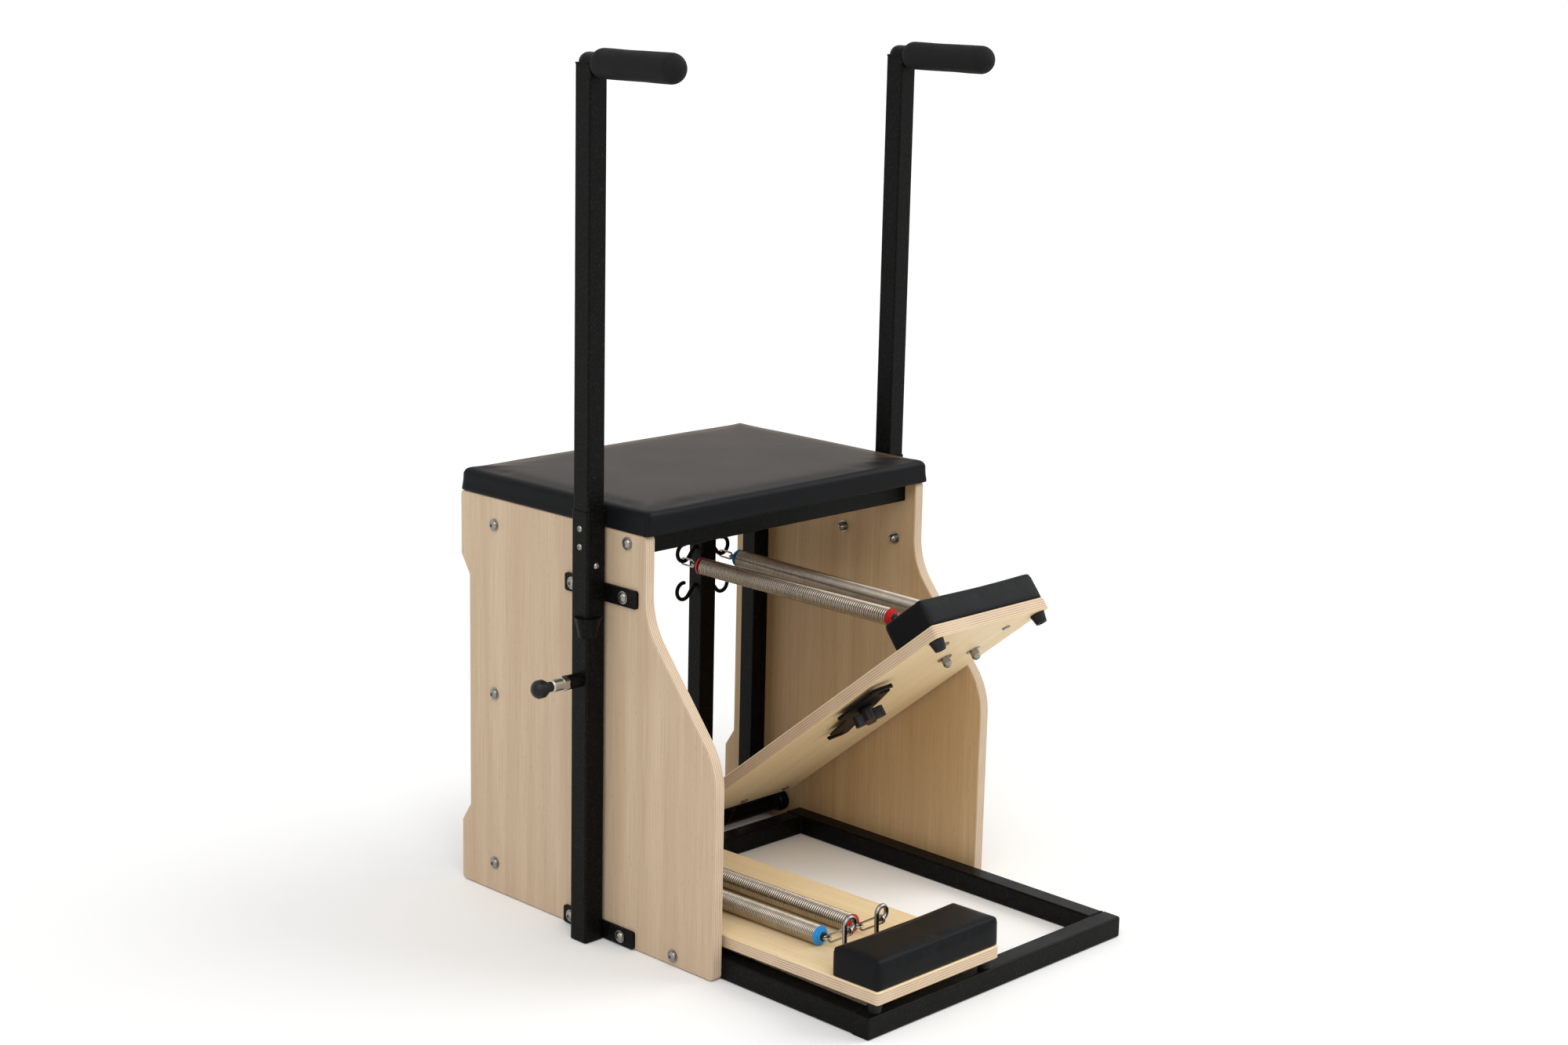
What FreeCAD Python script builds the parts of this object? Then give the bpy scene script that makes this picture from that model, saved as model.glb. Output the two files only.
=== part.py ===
import FreeCAD
import Part
import math
import os
from FreeCAD import Placement, Rotation, Vector

# Split-pedal exercise chair: two plywood sides on a welded square-tube frame, a padded seat,
# two sprung pedals hinged at the back, and two push handles that slide in outside receivers.
# Millimetres. X runs across the chair, the front is -Y, the floor is Z = 0 and the origin is
# on the floor, midway across and midway between the plywood's rear edge and the lowered pedal's front.

# Whole chair
frame_depth = 800.0
ply = 18.0
tube = 30.0
tube_wall = 1.5
tube_corner = 3.0
fit_gap = 0.3
cut_over = 2.0

# Plywood sides
panel_floor_gap = 1.0
panel_top = 587.0
panel_base_depth = 531.0
panel_top_depth = 390.0
nose_top = 505.0
nose_radius = 100.0
nose_angle = 40.0
recess_depth = 18.5
recess_low = 92.0
recess_high = 494.0
recess_ramp = 28.0
panel_corner = 6.0
panel_ease = 1.2

# Welded base and back frame
cross_bar_forward = 58.0
rear_set_back = 60.0
spring_post_offset = 131.0
seat_bar_inset = 20.0

# Seat: vinyl over foam on a plywood board
seat_height = 36.0
seat_side_lap = 3.0
seat_front_lap = 8.0
seat_corner = 14.0
seat_draw = 2.5
seat_crown = 4.0
seat_crown_inset = 110.0
seat_roll = 12.0
seat_tuck = 3.0
seat_board_thick = 12.0
seat_board_margin = 20.0
crown_inset_share = 0.45
crown_rise_share = 0.75

# Button-head bolts of the sides and brackets
bolt_shank = 8.0
bolt_head = 14.0
bolt_head_rise = 4.6
bolt_rim = 1.0
washer_size = 18.0
washer_thick = 1.6
bolt_socket = 5.0
bolt_socket_depth = 2.6
bolt_bite = 6.0
hole_gap = 0.2
rear_bolt_heights = (44.0, 300.0, 548.0)
rail_bolt_front_inset = 77.0
nut_size = 13.0
nut_rise = 9.0

# Handle receivers on the outside of the sides
receiver_front_inset = 90.0
receiver_wall = 1.2
slide_gap = 0.3
receiver_foot = 1.5
receiver_top = 612.0
bracket_thick = 4.0
bracket_height = 25.0
bracket_low = 14.0
bracket_high = 498.0
bracket_bolt_offset = 52.0
bracket_rear_lap = 16.0
bracket_front_lap = 26.0
bracket_corner = 4.0
boss_height = 466.0
boss_drop = 28.0
boss_inset = 9.5
boss_top_radius = 18.5
boss_foot_radius = 12.6
glide_outer_heights = (563.0, 588.0)
glide_front_height = 537.0
glide_shank = 5.0
glide_head = 9.0
glide_head_rise = 2.6
glide_socket = 3.0
glide_socket_depth = 1.6

# Sliding handles
handle_tube = 30.0
handle_wall = 1.5
handle_corner = 2.6
handle_foot = 200.0
handle_axis = 1203.0
hole_pitch = 60.0
holes_above = 3
holes_below = 1
bar_size = 28.0
bar_wall = 2.0
bar_rear_reach = 3.0
grip_size = 40.0
grip_length = 156.0
grip_shoulder = 11.0
grip_end = 14.0
grip_gap = 0.3

# Pull pins that lock the handles
pin_height = 378.0
pin_size = 8.0
pin_bore_gap = 0.2
pin_stem = 6.0
pin_collar = 10.0
pin_collar_thick = 2.0
pin_travel = 9.0
sleeve_size = 20.0
sleeve_length = 23.0
barrel_thread = 13.0
barrel_wall = 2.0
jam_nut = 19.0
jam_nut_thick = 8.0
barrel_size = 17.0
barrel_length = 18.0
knob_neck = 14.0
knob_neck_length = 10.0
knob_size = 25.0
knob_head_length = 22.0
knob_crown = 5.0
knob_dome = 9.0
spring_gap = 0.4

# Pedals: board frame u runs forward from the hinge axis, v up from it
pivot_set_back = 130.0
pivot_height = 32.0
pedal_low_angle = 0.93
pedal_high_angle = 38.47
pedal_gap = 22.0
pedal_width = 239.5
pedal_side_gap = 9.5
pedal_rear = 40.0
pedal_nose = 15.5
pedal_lift = 2.4
pedal_corner = 5.0
foot_depth = 80.0
foot_height = 41.0
foot_front_inset = 1.5
foot_side_inset = 1.0
foot_corner = 4.0
foot_draw = 1.5
foot_roll = 6.0
foot_tuck = 1.5
foot_crown = 2.5
foot_crown_inset = 28.0
foot_bolt_offset = 65.0

# Hinge: axle in welded lugs, tube and folded plate on each pedal
axle_size = 16.0
bush_wall = 2.5
bush_length = 24.0
bush_gap = 0.15
hinge_tube_wall = 3.0
hinge_tube_inset = 6.0
hinge_plate = 4.0
hinge_plate_depth = 56.0
hinge_plate_inset = 14.0
hinge_arm_thick = 6.0
hinge_arm_behind = 4.0
hinge_bolt_forward = 60.0
hinge_bolt_offset = 90.0
lug_thick = 6.0
lug_radius = 17.0
lug_side_gap = 0.8
low_bolt = 6.0
low_head = 12.0
low_head_rise = 2.4

# Rubber bumpers and hook bolts on the pedals
bumper_side_inset = 12.0
bumper_lead = 4.0
bumper_base = 22.0
bumper_tip = 16.0
bumper_bore = 8.0
bumper_bore_depth = 4.0
hook_set_back = 112.5
hook_spacing = 62.0
hook_rod = 6.5
hook_ring = 9.25
hook_rise = 44.0
hook_sweep_angle = 300.0
hook_washer = 22.0
acorn_size = 13.0
acorn_rise = 14.0

# Cup hooks on the spring posts
post_hook_heights = (390.0, 450.0)
post_hook_reach = 40.0
post_hook_rod = 6.0
post_hook_ring = 13.0
post_hook_neck_angle = -40.0
post_hook_tip_angle = -275.0
post_hook_rise = 6.0
post_hook_bite = 8.0

# Coil springs and their end fittings
coil_size = 26.5
coil_wire = 6.0
coil_turns = 25
cap_flange = 2.0
cap_step = 5.0
cap_ring_inset = 2.0
cap_step_inset = 4.5
cap_plug = 12.0
eye_wire = 3.0
eye_ring = 5.0
link_wire = 3.0
link_bore = 7.0
top_link_pitch = 18.0
foot_link_pitch = 40.0
end_gap = 0.4

# Lock plate that joins the two pedals
lock_inset = 51.0
lock_set_back = 229.0
lock_tilt_angle = 19.3
lock_arm = 126.0
lock_nose = 84.0
lock_nose_slot = 66.0
lock_half_width = 18.0
lock_plate_thick = 4.0
lock_spacer_size = 22.0
lock_spacer = 6.0
lock_slot_reach = 110.0
lock_slot_width = 13.0
lock_tab_reach = 23.0
lock_tab_rear = 11.0
lock_tab_foot = 30.0
lock_pin = 8.0
lock_pin_tail = 26.0
knob_lobe_reach = 16.0
knob_lobe_radius = 7.5
knob_hub = 11.0
knob_collar = 5.0
knob_body = 15.0
stud_size = 10.0
stud_head = 20.0
stud_head_thick = 3.0
stud_drop = 11.0

# Places worked out from the sizes above
half_inner = pedal_gap / 2 + pedal_width + pedal_side_gap
half_outer = half_inner + ply
half_tube = tube / 2
bumper_forward = frame_depth - pivot_set_back - half_tube + bumper_lead
pedal_front = bumper_forward + pedal_nose
hook_forward = pedal_front - hook_set_back
lock_forward = pedal_front - lock_set_back
low_turn = math.radians(pedal_low_angle)
pedal_reach = pedal_front * math.cos(low_turn) - (pedal_lift + panel_ease) * math.sin(low_turn)
rear_face = (pivot_set_back + pedal_reach) / 2
front_face = rear_face - frame_depth
pivot_y = rear_face - pivot_set_back
post_y = rear_face - rear_set_back - half_tube
cross_bar_y = pivot_y - cross_bar_forward
seat_bar_y = rear_face - panel_top_depth + seat_bar_inset + half_tube
seat_bar_z = panel_top - half_tube
receiver_y = rear_face - panel_top_depth + receiver_front_inset
receiver_size = handle_tube + 2 * (slide_gap + receiver_wall)
receiver_x = half_outer + bracket_thick + receiver_size / 2
receiver_face = receiver_x + receiver_size / 2
board_top = pedal_lift + ply
hinge_bore = axle_size + 2 * (bush_wall + bush_gap)
hinge_radius = hinge_bore / 2 + hinge_tube_wall
hook_centre = board_top + hook_rise
pedal_centre = pedal_gap / 2 + pedal_width / 2
link_slack = link_bore / 2 - eye_wire / 2 - end_gap
cap_face = 2 * eye_ring + eye_wire / 2
collar_start = fit_gap + barrel_wall + pin_bore_gap

X_AXIS = Vector(1, 0, 0)
Y_AXIS = Vector(0, 1, 0)
Z_AXIS = Vector(0, 0, 1)


def block(x_ends, y_ends, z_ends):
    """A box between two planes along each axis."""
    low = Vector(min(x_ends), min(y_ends), min(z_ends))
    sizes = [abs(ends[1] - ends[0]) for ends in (x_ends, y_ends, z_ends)]
    return Part.makeBox(sizes[0], sizes[1], sizes[2], low)


def rod(start, end, size):
    """A round bar of the given diameter between two points."""
    run = end - start
    return Part.makeCylinder(size / 2, run.Length, start, run)


def edges_along(shape, direction):
    """The straight edges of a shape that run along a direction."""
    found = []
    for edge in shape.Edges:
        run = edge.Vertexes[-1].Point - edge.Vertexes[0].Point
        if run.Length > 0 and run.cross(direction).Length < run.Length * 1e-6:
            found.append(edge)
    return found


def square_tube(start, end, side, wall, corner):
    """A hollow square tube with rounded corners along one of the axes."""
    run = end - start
    outer = Part.makeBox(side, side, run.Length, Vector(-side / 2, -side / 2, 0))
    outer = outer.makeFillet(corner, edges_along(outer, Z_AXIS))
    bore = side - 2 * wall
    inner = Part.makeBox(bore, bore, run.Length, Vector(-bore / 2, -bore / 2, 0))
    inner = inner.makeFillet(corner - wall, edges_along(inner, Z_AXIS))
    shape = outer.cut(inner)
    shape.Placement = Placement(start, Rotation(Z_AXIS, run))
    return shape


def turned(steps, start, axis):
    """A solid of revolution. Each step is a (radius, height) point, or a pair of points for an arc."""
    points = [step[-1] if isinstance(step[0], tuple) else step for step in steps]
    places = [Vector(radius, 0, height) for radius, height in points]
    edges = []
    for index, step in enumerate(steps):
        last = places[index - 1]
        here = places[index]
        if isinstance(step[0], tuple):
            middle = Vector(step[0][0], 0, step[0][1])
            edges.append(Part.Arc(last, middle, here).toShape())
        elif (here - last).Length > 0:
            edges.append(Part.makeLine(last, here))
    face = Part.Face(Part.Wire(Part.__sortEdges__(edges)))
    solid = face.revolve(Vector(0, 0, 0), Z_AXIS, 360)
    solid.Placement = Placement(start, Rotation(Z_AXIS, axis))
    return solid


def dome(radius, rise, base):
    """The middle and end of a ball-shaped cap in a turned profile, from its rim up to the axis."""
    ball = (radius ** 2 + rise ** 2) / (2 * rise)
    centre = base + rise - ball
    middle = (math.asin((base - centre) / ball) + math.pi / 2) / 2
    return (ball * math.cos(middle), centre + ball * math.sin(middle)), (0, base + rise)


def outline(points):
    """A closed wire of straight lines and, where a pair of points is given, arcs through the first."""
    ends = [item[-1] if isinstance(item, tuple) else item for item in points]
    edges = []
    for index, item in enumerate(points):
        last = ends[index - 1]
        if isinstance(item, tuple):
            edges.append(Part.Arc(last, item[0], item[1]).toShape())
        else:
            edges.append(Part.makeLine(last, item))
    return Part.Wire(edges)


def mirrored(shape):
    """The same piece on the other side of the chair."""
    return shape.mirror(Vector(0, 0, 0), X_AXIS)


def export(name, shapes):
    """Write one node, a single solid or a group of separate ones."""
    if not isinstance(shapes, list):
        shapes = [shapes]
    solids = [solid for shape in shapes for solid in shape.Solids]
    whole = solids[0] if len(solids) == 1 else Part.makeCompound(solids)
    whole.exportStep("parts/" + name + ".step")


def export_pair(name, shape_right):
    """Write a right-hand node and its mirror image on the left."""
    shapes = shape_right if isinstance(shape_right, list) else [shape_right]
    export(name + "_right", shapes)
    export(name + "_left", [mirrored(shape) for shape in shapes])


# Plywood sides

def side_panel():
    """Right-hand side: rear edge with a long finger recess, front edge in an S down to a deeper foot."""
    foot = panel_floor_gap
    rear = rear_face
    toe = rear_face - panel_base_depth
    brow = rear_face - panel_top_depth
    turn = math.radians(nose_angle)
    drop = nose_radius * math.sin(turn)
    step = nose_radius * (1 - math.cos(turn))
    half_drop = nose_radius * math.sin(turn / 2)
    half_step = nose_radius * (1 - math.cos(turn / 2))
    slope_low = nose_top - drop - (brow - toe - 2 * step) / math.tan(turn)
    inner = rear - recess_depth
    flat = [
        (rear, foot),
        (rear, recess_low),
        (inner, recess_low + recess_ramp),
        (inner, recess_high - recess_ramp),
        (rear, recess_high),
        (rear, panel_top),
        (brow, panel_top),
        (brow, nose_top),
        ((brow - half_step, nose_top - half_drop), (brow - step, nose_top - drop)),
        (toe + step, slope_low),
        ((toe + half_step, slope_low - drop + half_drop), (toe, slope_low - drop)),
        (toe, foot),
    ]
    points = []
    for item in flat:
        if isinstance(item[0], tuple):
            points.append(tuple(Vector(half_inner, y, z) for y, z in item))
        else:
            points.append(Vector(half_inner, item[0], item[1]))
    panel = Part.Face(outline(points)).extrude(Vector(ply, 0, 0))
    corners = [(brow, panel_top), (toe, foot), (rear, panel_top), (rear, foot)]
    across = edges_along(panel, X_AXIS)
    chosen = []
    for edge in across:
        place = edge.Vertexes[0].Point
        if any(abs(place.y - y) + abs(place.z - z) < fit_gap for y, z in corners):
            chosen.append(edge)
    panel = panel.makeFillet(panel_corner, chosen)
    rims = [edge for face in panel.Faces for edge in face.Edges
            if face.Surface.TypeId == "Part::GeomPlane" and abs(face.normalAt(0, 0).x) > 0.5]
    panel = panel.makeChamfer(panel_ease, rims)
    for place in panel_bolt_places() + bracket_bolt_places():
        panel = panel.cut(bolt_hole(place, half_inner - cut_over, half_outer + cut_over))
    return panel


def panel_bolt_places():
    """Bolts straight through a side into the tubes: back post, seat bar and base rail."""
    places = [(post_y, height) for height in rear_bolt_heights]
    places.append((seat_bar_y, seat_bar_z))
    places.append((rear_face - panel_base_depth + rail_bolt_front_inset, half_tube))
    return places


def bracket_bolt_places():
    """Bolts of the two receiver brackets, behind and in front of the receiver."""
    sides = (bracket_bolt_offset, -bracket_bolt_offset)
    return [(receiver_y + side, height) for height in (bracket_low, bracket_high) for side in sides]


def bolt_hole(place, start_x, end_x):
    """A clearance hole for a shank, along X."""
    y, z = place
    return rod(Vector(start_x, y, z), Vector(end_x, y, z), bolt_shank + 2 * hole_gap)


def hex_prism(start, run, flats):
    """A six-sided prism with the given width across its flats."""
    corner = flats / math.sqrt(3)
    points = [Vector(math.cos(math.pi / 3 * k), math.sin(math.pi / 3 * k), 0) * corner for k in range(6)]
    prism = Part.Face(outline(points)).extrude(Vector(0, 0, run.Length))
    prism.Placement = Placement(start, Rotation(Z_AXIS, run))
    return prism


def button_bolt(place, seat_x, end_x):
    """Domed head and washer on a face that looks along +X, with the shank running inwards."""
    y, z = place
    base = Vector(seat_x, y, z)
    washer = rod(base, base + X_AXIS * washer_thick, washer_size)
    radius = bolt_head / 2
    cap = dome(radius, bolt_head_rise - bolt_rim, bolt_rim)
    head = turned([(0, 0), (radius, 0), (radius, bolt_rim), cap], base + X_AXIS * washer_thick, X_AXIS)
    shank = rod(Vector(end_x, y, z), base, bolt_shank)
    socket = hex_prism(base + X_AXIS * (washer_thick + bolt_head_rise - bolt_socket_depth),
                       X_AXIS * (bolt_socket_depth + cut_over), bolt_socket)
    return shank.fuse([washer, head]).cut(socket)


def cap_nut(place, seat_x):
    """Domed nut with its washer on the inner face of a side."""
    y, z = place
    base = Vector(seat_x, y, z)
    inwards = X_AXIS * -1
    bore = rod(base, base + inwards * (washer_thick + nut_rise / 2), bolt_shank + 2 * hole_gap)
    washer = rod(base, base + inwards * washer_thick, washer_size)
    radius = nut_size / 2
    cap = dome(radius, radius, nut_rise - radius)
    nut = turned([(0, 0), (radius, 0), (radius, nut_rise - radius), cap], base + inwards * washer_thick, inwards)
    return washer.fuse(nut).cut(bore)


# Welded tubes

def bored(shape, places, start_x, end_x):
    """A tube with shank holes drilled along X."""
    for place in places:
        shape = shape.cut(bolt_hole(place, start_x, end_x))
    return shape


def tube_between(start, end):
    """A frame tube."""
    return square_tube(start, end, tube, tube_wall, tube_corner)


def wall_bite():
    """How far a side bolt reaches into the frame behind the plywood."""
    return half_inner - tube_wall - bolt_bite


def base_rail():
    """Side rail of the base, from the front bar to its plated end behind the cross bar."""
    start = Vector(half_inner - half_tube, front_face + tube, half_tube)
    end = Vector(half_inner - half_tube, cross_bar_y + half_tube, half_tube)
    core = tube - 2 * tube_wall
    plate = block((start.x - core / 2, start.x + core / 2), (end.y - tube_wall, end.y),
                  (half_tube - core / 2, half_tube + core / 2))
    rail = tube_between(start, end).fuse(plate)
    places = [place for place in panel_bolt_places() + bracket_bolt_places() if place[1] < tube]
    return bored(rail, places, wall_bite() - cut_over, half_inner + cut_over)


def rear_post():
    """Back corner post, floor to seat."""
    start = Vector(half_inner - half_tube, post_y, 0)
    end = Vector(half_inner - half_tube, post_y, panel_top)
    places = [(post_y, height) for height in rear_bolt_heights]
    return bored(tube_between(start, end), places, wall_bite() - cut_over, half_inner + cut_over)


def spring_post():
    """Upright that carries the spring hooks of one pedal."""
    post = tube_between(
        Vector(spring_post_offset, post_y, tube), Vector(spring_post_offset, post_y, panel_top - tube))
    for height in post_hook_heights:
        for side in (-1, 1):
            face = Vector(spring_post_offset + side * half_tube, post_y, hook_shank_height(height))
            inwards = X_AXIS * -side
            hole = rod(face - inwards * cut_over, face + inwards * post_hook_bite, post_hook_rod + 2 * hole_gap)
            post = post.cut(hole)
    return post


def cross_tube(y, z, reach):
    """A tube across the chair, centred on it."""
    return tube_between(Vector(-reach, y, z), Vector(reach, y, z))


def base_front_bar():
    """Bar across the front of the base, with its ends plated over."""
    y = front_face + half_tube
    core = tube - 2 * tube_wall
    plates = [block((side * half_inner, side * (half_inner - tube_wall)), (y - core / 2, y + core / 2),
                    (half_tube - core / 2, half_tube + core / 2)) for side in (-1, 1)]
    return cross_tube(y, half_tube, half_inner).fuse(plates).removeSplitter()


def seat_front_bar():
    """Bar under the front of the seat, with welded end plates that take the upper side bolts."""
    bar = cross_tube(seat_bar_y, seat_bar_z, half_inner)
    plates = []
    for side in (-1, 1):
        core = tube - 2 * tube_wall
        plate = block((side * half_inner, side * (half_inner - bolt_bite)),
                      (seat_bar_y - core / 2, seat_bar_y + core / 2),
                      (seat_bar_z - core / 2, seat_bar_z + core / 2))
        plates.append(plate)
    bar = bar.fuse(plates)
    reach = half_inner + cut_over
    return bored(bar, [(seat_bar_y, seat_bar_z)], -reach, reach)


# Cushions

def cushion(size, corner, draw, tuck, roll, crown, crown_inset):
    """A stuffed pad on its flat base: sides drawn in between the corners, rolled edge, crowned top."""
    width, depth, height = size
    shoulder = height - crown - roll
    sections = [(0, tuck), (tuck, 0)]
    for turn in (0, 30, 60, 90):
        angle = math.radians(turn)
        sections.append((shoulder + roll * math.sin(angle), roll * (1 - math.cos(angle))))
    slope_inset = roll + (crown_inset - roll) * crown_inset_share
    sections.append((shoulder + roll + crown * crown_rise_share, slope_inset))
    sections.append((height, crown_inset))
    wires = []
    for z, inset in sections:
        half_w = width / 2 - inset
        half_d = depth / 2 - inset
        pull = draw * (1 - inset / (2 * crown_inset))
        arc_in = corner * (1 - math.cos(math.radians(45)))
        wires.append(outline([
            (Vector(0, -half_d + pull, z), Vector(half_w - corner, -half_d, z)),
            (Vector(half_w - arc_in, -half_d + arc_in, z), Vector(half_w, -half_d + corner, z)),
            (Vector(half_w - pull, 0, z), Vector(half_w, half_d - corner, z)),
            (Vector(half_w - arc_in, half_d - arc_in, z), Vector(half_w - corner, half_d, z)),
            (Vector(0, half_d - pull, z), Vector(-half_w + corner, half_d, z)),
            (Vector(-half_w + arc_in, half_d - arc_in, z), Vector(-half_w, half_d - corner, z)),
            (Vector(-half_w + pull, 0, z), Vector(-half_w, -half_d + corner, z)),
            (Vector(-half_w + arc_in, -half_d + arc_in, z), Vector(-half_w + corner, -half_d, z)),
        ]))
    return Part.makeLoft(wires, True, True)


def seat_board():
    """Plywood board inside the underside of the seat."""
    half_w = half_outer - seat_board_margin
    low_y = rear_face - panel_top_depth - seat_front_lap + seat_board_margin
    return block((-half_w, half_w), (low_y, rear_face - seat_board_margin),
                 (panel_top, panel_top + seat_board_thick))


def seat_pad():
    """Seat cushion, wrapped round its board."""
    width = 2 * (half_outer + seat_side_lap)
    depth = panel_top_depth + seat_front_lap
    pad = cushion((width, depth, seat_height), seat_corner, seat_draw, seat_tuck, seat_roll, seat_crown,
                  seat_crown_inset)
    pad.translate(Vector(0, rear_face - depth / 2, panel_top))
    return pad.cut(seat_board())


# Receivers and handles

def receiver():
    """Outside guide tube with its bracket plates, pin sleeve and corner boss welded on."""
    start = Vector(receiver_x, receiver_y, receiver_foot)
    end = Vector(receiver_x, receiver_y, receiver_top)
    guide = square_tube(start, end, receiver_size, receiver_wall, handle_corner + receiver_wall)
    bore_side = receiver_size - 2 * receiver_wall
    half_bore = bore_side / 2
    parts = [bracket(height) for height in (bracket_low, bracket_high)]
    sleeve_start = Vector(receiver_face - receiver_wall / 2, receiver_y, pin_height)
    parts.append(rod(sleeve_start, sleeve_start + X_AXIS * (sleeve_length + receiver_wall / 2), sleeve_size))
    boss_x = receiver_face - boss_inset
    boss_y = receiver_y - receiver_size / 2 + boss_inset
    parts.append(Part.makeCone(boss_foot_radius, boss_top_radius, boss_drop,
                               Vector(boss_x, boss_y, boss_height - boss_drop)))
    whole = guide.fuse(parts)
    bore = block((receiver_x - half_bore, receiver_x + half_bore), (receiver_y - half_bore, receiver_y + half_bore),
                 (receiver_foot - cut_over, receiver_top + cut_over))
    whole = whole.cut(bore)
    nose = rod(Vector(receiver_x, receiver_y, pin_height), Vector(receiver_face, receiver_y, pin_height),
               pin_size + 2 * pin_bore_gap)
    thread = rod(Vector(receiver_face, receiver_y, pin_height),
                 Vector(receiver_face + sleeve_length + cut_over, receiver_y, pin_height),
                 barrel_thread + 2 * hole_gap)
    whole = whole.cut([nose, thread])
    for head, inwards in glide_screw_places():
        whole = whole.cut(rod(head - inwards * cut_over, head + inwards * (receiver_wall + cut_over),
                              glide_shank + 2 * hole_gap))
    return whole.removeSplitter()


def bracket(height):
    """Flat plate behind a receiver, with an ear each side."""
    rear = receiver_y + bracket_bolt_offset + bracket_rear_lap
    front = receiver_y - bracket_bolt_offset - bracket_front_lap
    low = max(height - bracket_height / 2, receiver_foot)
    plate = block((half_outer, half_outer + bracket_thick), (front, rear), (low, height + bracket_height / 2))
    plate = plate.makeFillet(bracket_corner, edges_along(plate, X_AXIS))
    for place in bracket_bolt_places():
        if place[1] == height:
            plate = plate.cut(bolt_hole(place, half_outer - cut_over, half_outer + bracket_thick + cut_over))
    return plate


def glide_screw_places():
    """Screws that steady the handle: two through the outer wall, one through the front wall."""
    places = [(Vector(receiver_face, receiver_y, height), X_AXIS * -1) for height in glide_outer_heights]
    places.append((Vector(receiver_x, receiver_y - receiver_size / 2, glide_front_height), Y_AXIS))
    return places


def glide_screws():
    """The three glide screws of one receiver, tips level with the inside of the wall."""
    screws = []
    for head, inwards in glide_screw_places():
        tip = head + inwards * receiver_wall
        radius = glide_head / 2
        cap = turned([(0, 0), (radius, 0), dome(radius, glide_head_rise, 0)], head, inwards * -1)
        socket = hex_prism(head - inwards * (glide_head_rise - glide_socket_depth),
                           inwards * -(glide_socket_depth + cut_over), glide_socket)
        screws.append(rod(head, tip, glide_shank).fuse(cap).cut(socket))
    return screws


def handle_post():
    """Sliding square tube with its pin holes, and the round bar welded across its top."""
    start = Vector(receiver_x, receiver_y, handle_foot)
    post = square_tube(start, Vector(receiver_x, receiver_y, handle_axis), handle_tube, handle_wall, handle_corner)
    rear = receiver_y + handle_tube / 2 + bar_rear_reach
    front = receiver_y - handle_tube / 2 - grip_length + grip_end
    radius = bar_size / 2
    shoulder = rear - front - radius
    bar = turned([(0, 0), (radius, 0), (radius, shoulder), dome(radius, radius, shoulder)],
                 Vector(receiver_x, front, handle_axis), Y_AXIS)
    bore = rod(Vector(receiver_x, front - cut_over, handle_axis),
               Vector(receiver_x, rear - radius, handle_axis), bar_size - 2 * bar_wall)
    whole = post.fuse(bar).cut(bore)
    for step in range(-holes_below, holes_above + 1):
        z = pin_height + step * hole_pitch
        whole = whole.cut(rod(Vector(receiver_x, receiver_y, z), Vector(receiver_face, receiver_y, z),
                              pin_size + 2 * pin_bore_gap))
    return whole


def grip():
    """Foam grip pushed over the front of the bar."""
    radius = grip_size / 2
    bore = bar_size / 2 + grip_gap
    lip = radius - bore
    ball = (lip ** 2 + grip_shoulder ** 2) / (2 * lip)
    turn = math.atan2(grip_shoulder, ball - lip) / 2
    middle = (radius - ball + ball * math.cos(turn), grip_shoulder - ball * math.sin(turn))
    depth = grip_length - grip_end + grip_gap
    start = Vector(receiver_x, receiver_y - handle_tube / 2 - grip_gap, handle_axis)
    return turned([
        (bore, 0),
        (middle, (radius, grip_shoulder)),
        (radius, grip_length - radius),
        dome(radius, radius, grip_length - radius),
        (0, depth),
        (bore, depth),
    ], start, Y_AXIS * -1)


# Pull pins, outwards along +X from the receiver's outer face

def pin_place(reach):
    """A point on the pin's axis, measured outwards from the receiver."""
    return Vector(receiver_face + reach, receiver_y, pin_height)


def pin_barrel():
    """Threaded housing with its lock nut, hollow for the plunger and its spring."""
    end = sleeve_length + jam_nut_thick + barrel_length
    nut = hex_prism(pin_place(sleeve_length), X_AXIS * jam_nut_thick, jam_nut)
    barrel = turned([
        (0, 0),
        (barrel_size / 2, 0),
        (barrel_size / 2, barrel_length - barrel_wall),
        (barrel_size / 2 - barrel_wall, barrel_length),
        (0, barrel_length),
    ], pin_place(sleeve_length + jam_nut_thick), X_AXIS)
    thread = rod(pin_place(fit_gap), pin_place(sleeve_length), barrel_thread)
    whole = thread.fuse([nut, barrel])
    chamber = rod(pin_place(fit_gap + barrel_wall), pin_place(end - barrel_wall), pin_collar + 2 * pin_bore_gap)
    near = rod(pin_place(0), pin_place(end / 2), pin_size + 2 * pin_bore_gap)
    far = rod(pin_place(end / 2), pin_place(end + cut_over), pin_stem + 2 * pin_bore_gap)
    return whole.cut([chamber, near, far])


def pin_plunger():
    """Steel plunger: nose, collar and the stem that the knob is pressed on."""
    nose = rod(pin_place(-receiver_wall), pin_place(collar_start), pin_size)
    collar = rod(pin_place(collar_start), pin_place(collar_start + pin_collar_thick), pin_collar)
    stem = rod(pin_place(collar_start), pin_place(knob_start() + knob_neck_length), pin_stem)
    return nose.fuse([collar, stem])


def knob_start():
    """Where the pull knob begins, just outside the barrel."""
    return sleeve_length + jam_nut_thick + barrel_length + fit_gap


def pin_knob():
    """Plastic pull knob: neck and mushroom head."""
    radius = knob_size / 2
    neck = knob_neck / 2
    top = knob_neck_length + knob_head_length
    body = turned([
        (0, 0),
        (neck, 0),
        (neck, knob_neck_length - knob_crown),
        (radius, knob_neck_length + knob_crown),
        (radius, top - knob_dome),
        dome(radius, knob_dome, top - knob_dome),
    ], pin_place(knob_start()), X_AXIS)
    return body.cut(rod(pin_place(knob_start()), pin_place(knob_start() + knob_neck_length), pin_stem))


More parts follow.
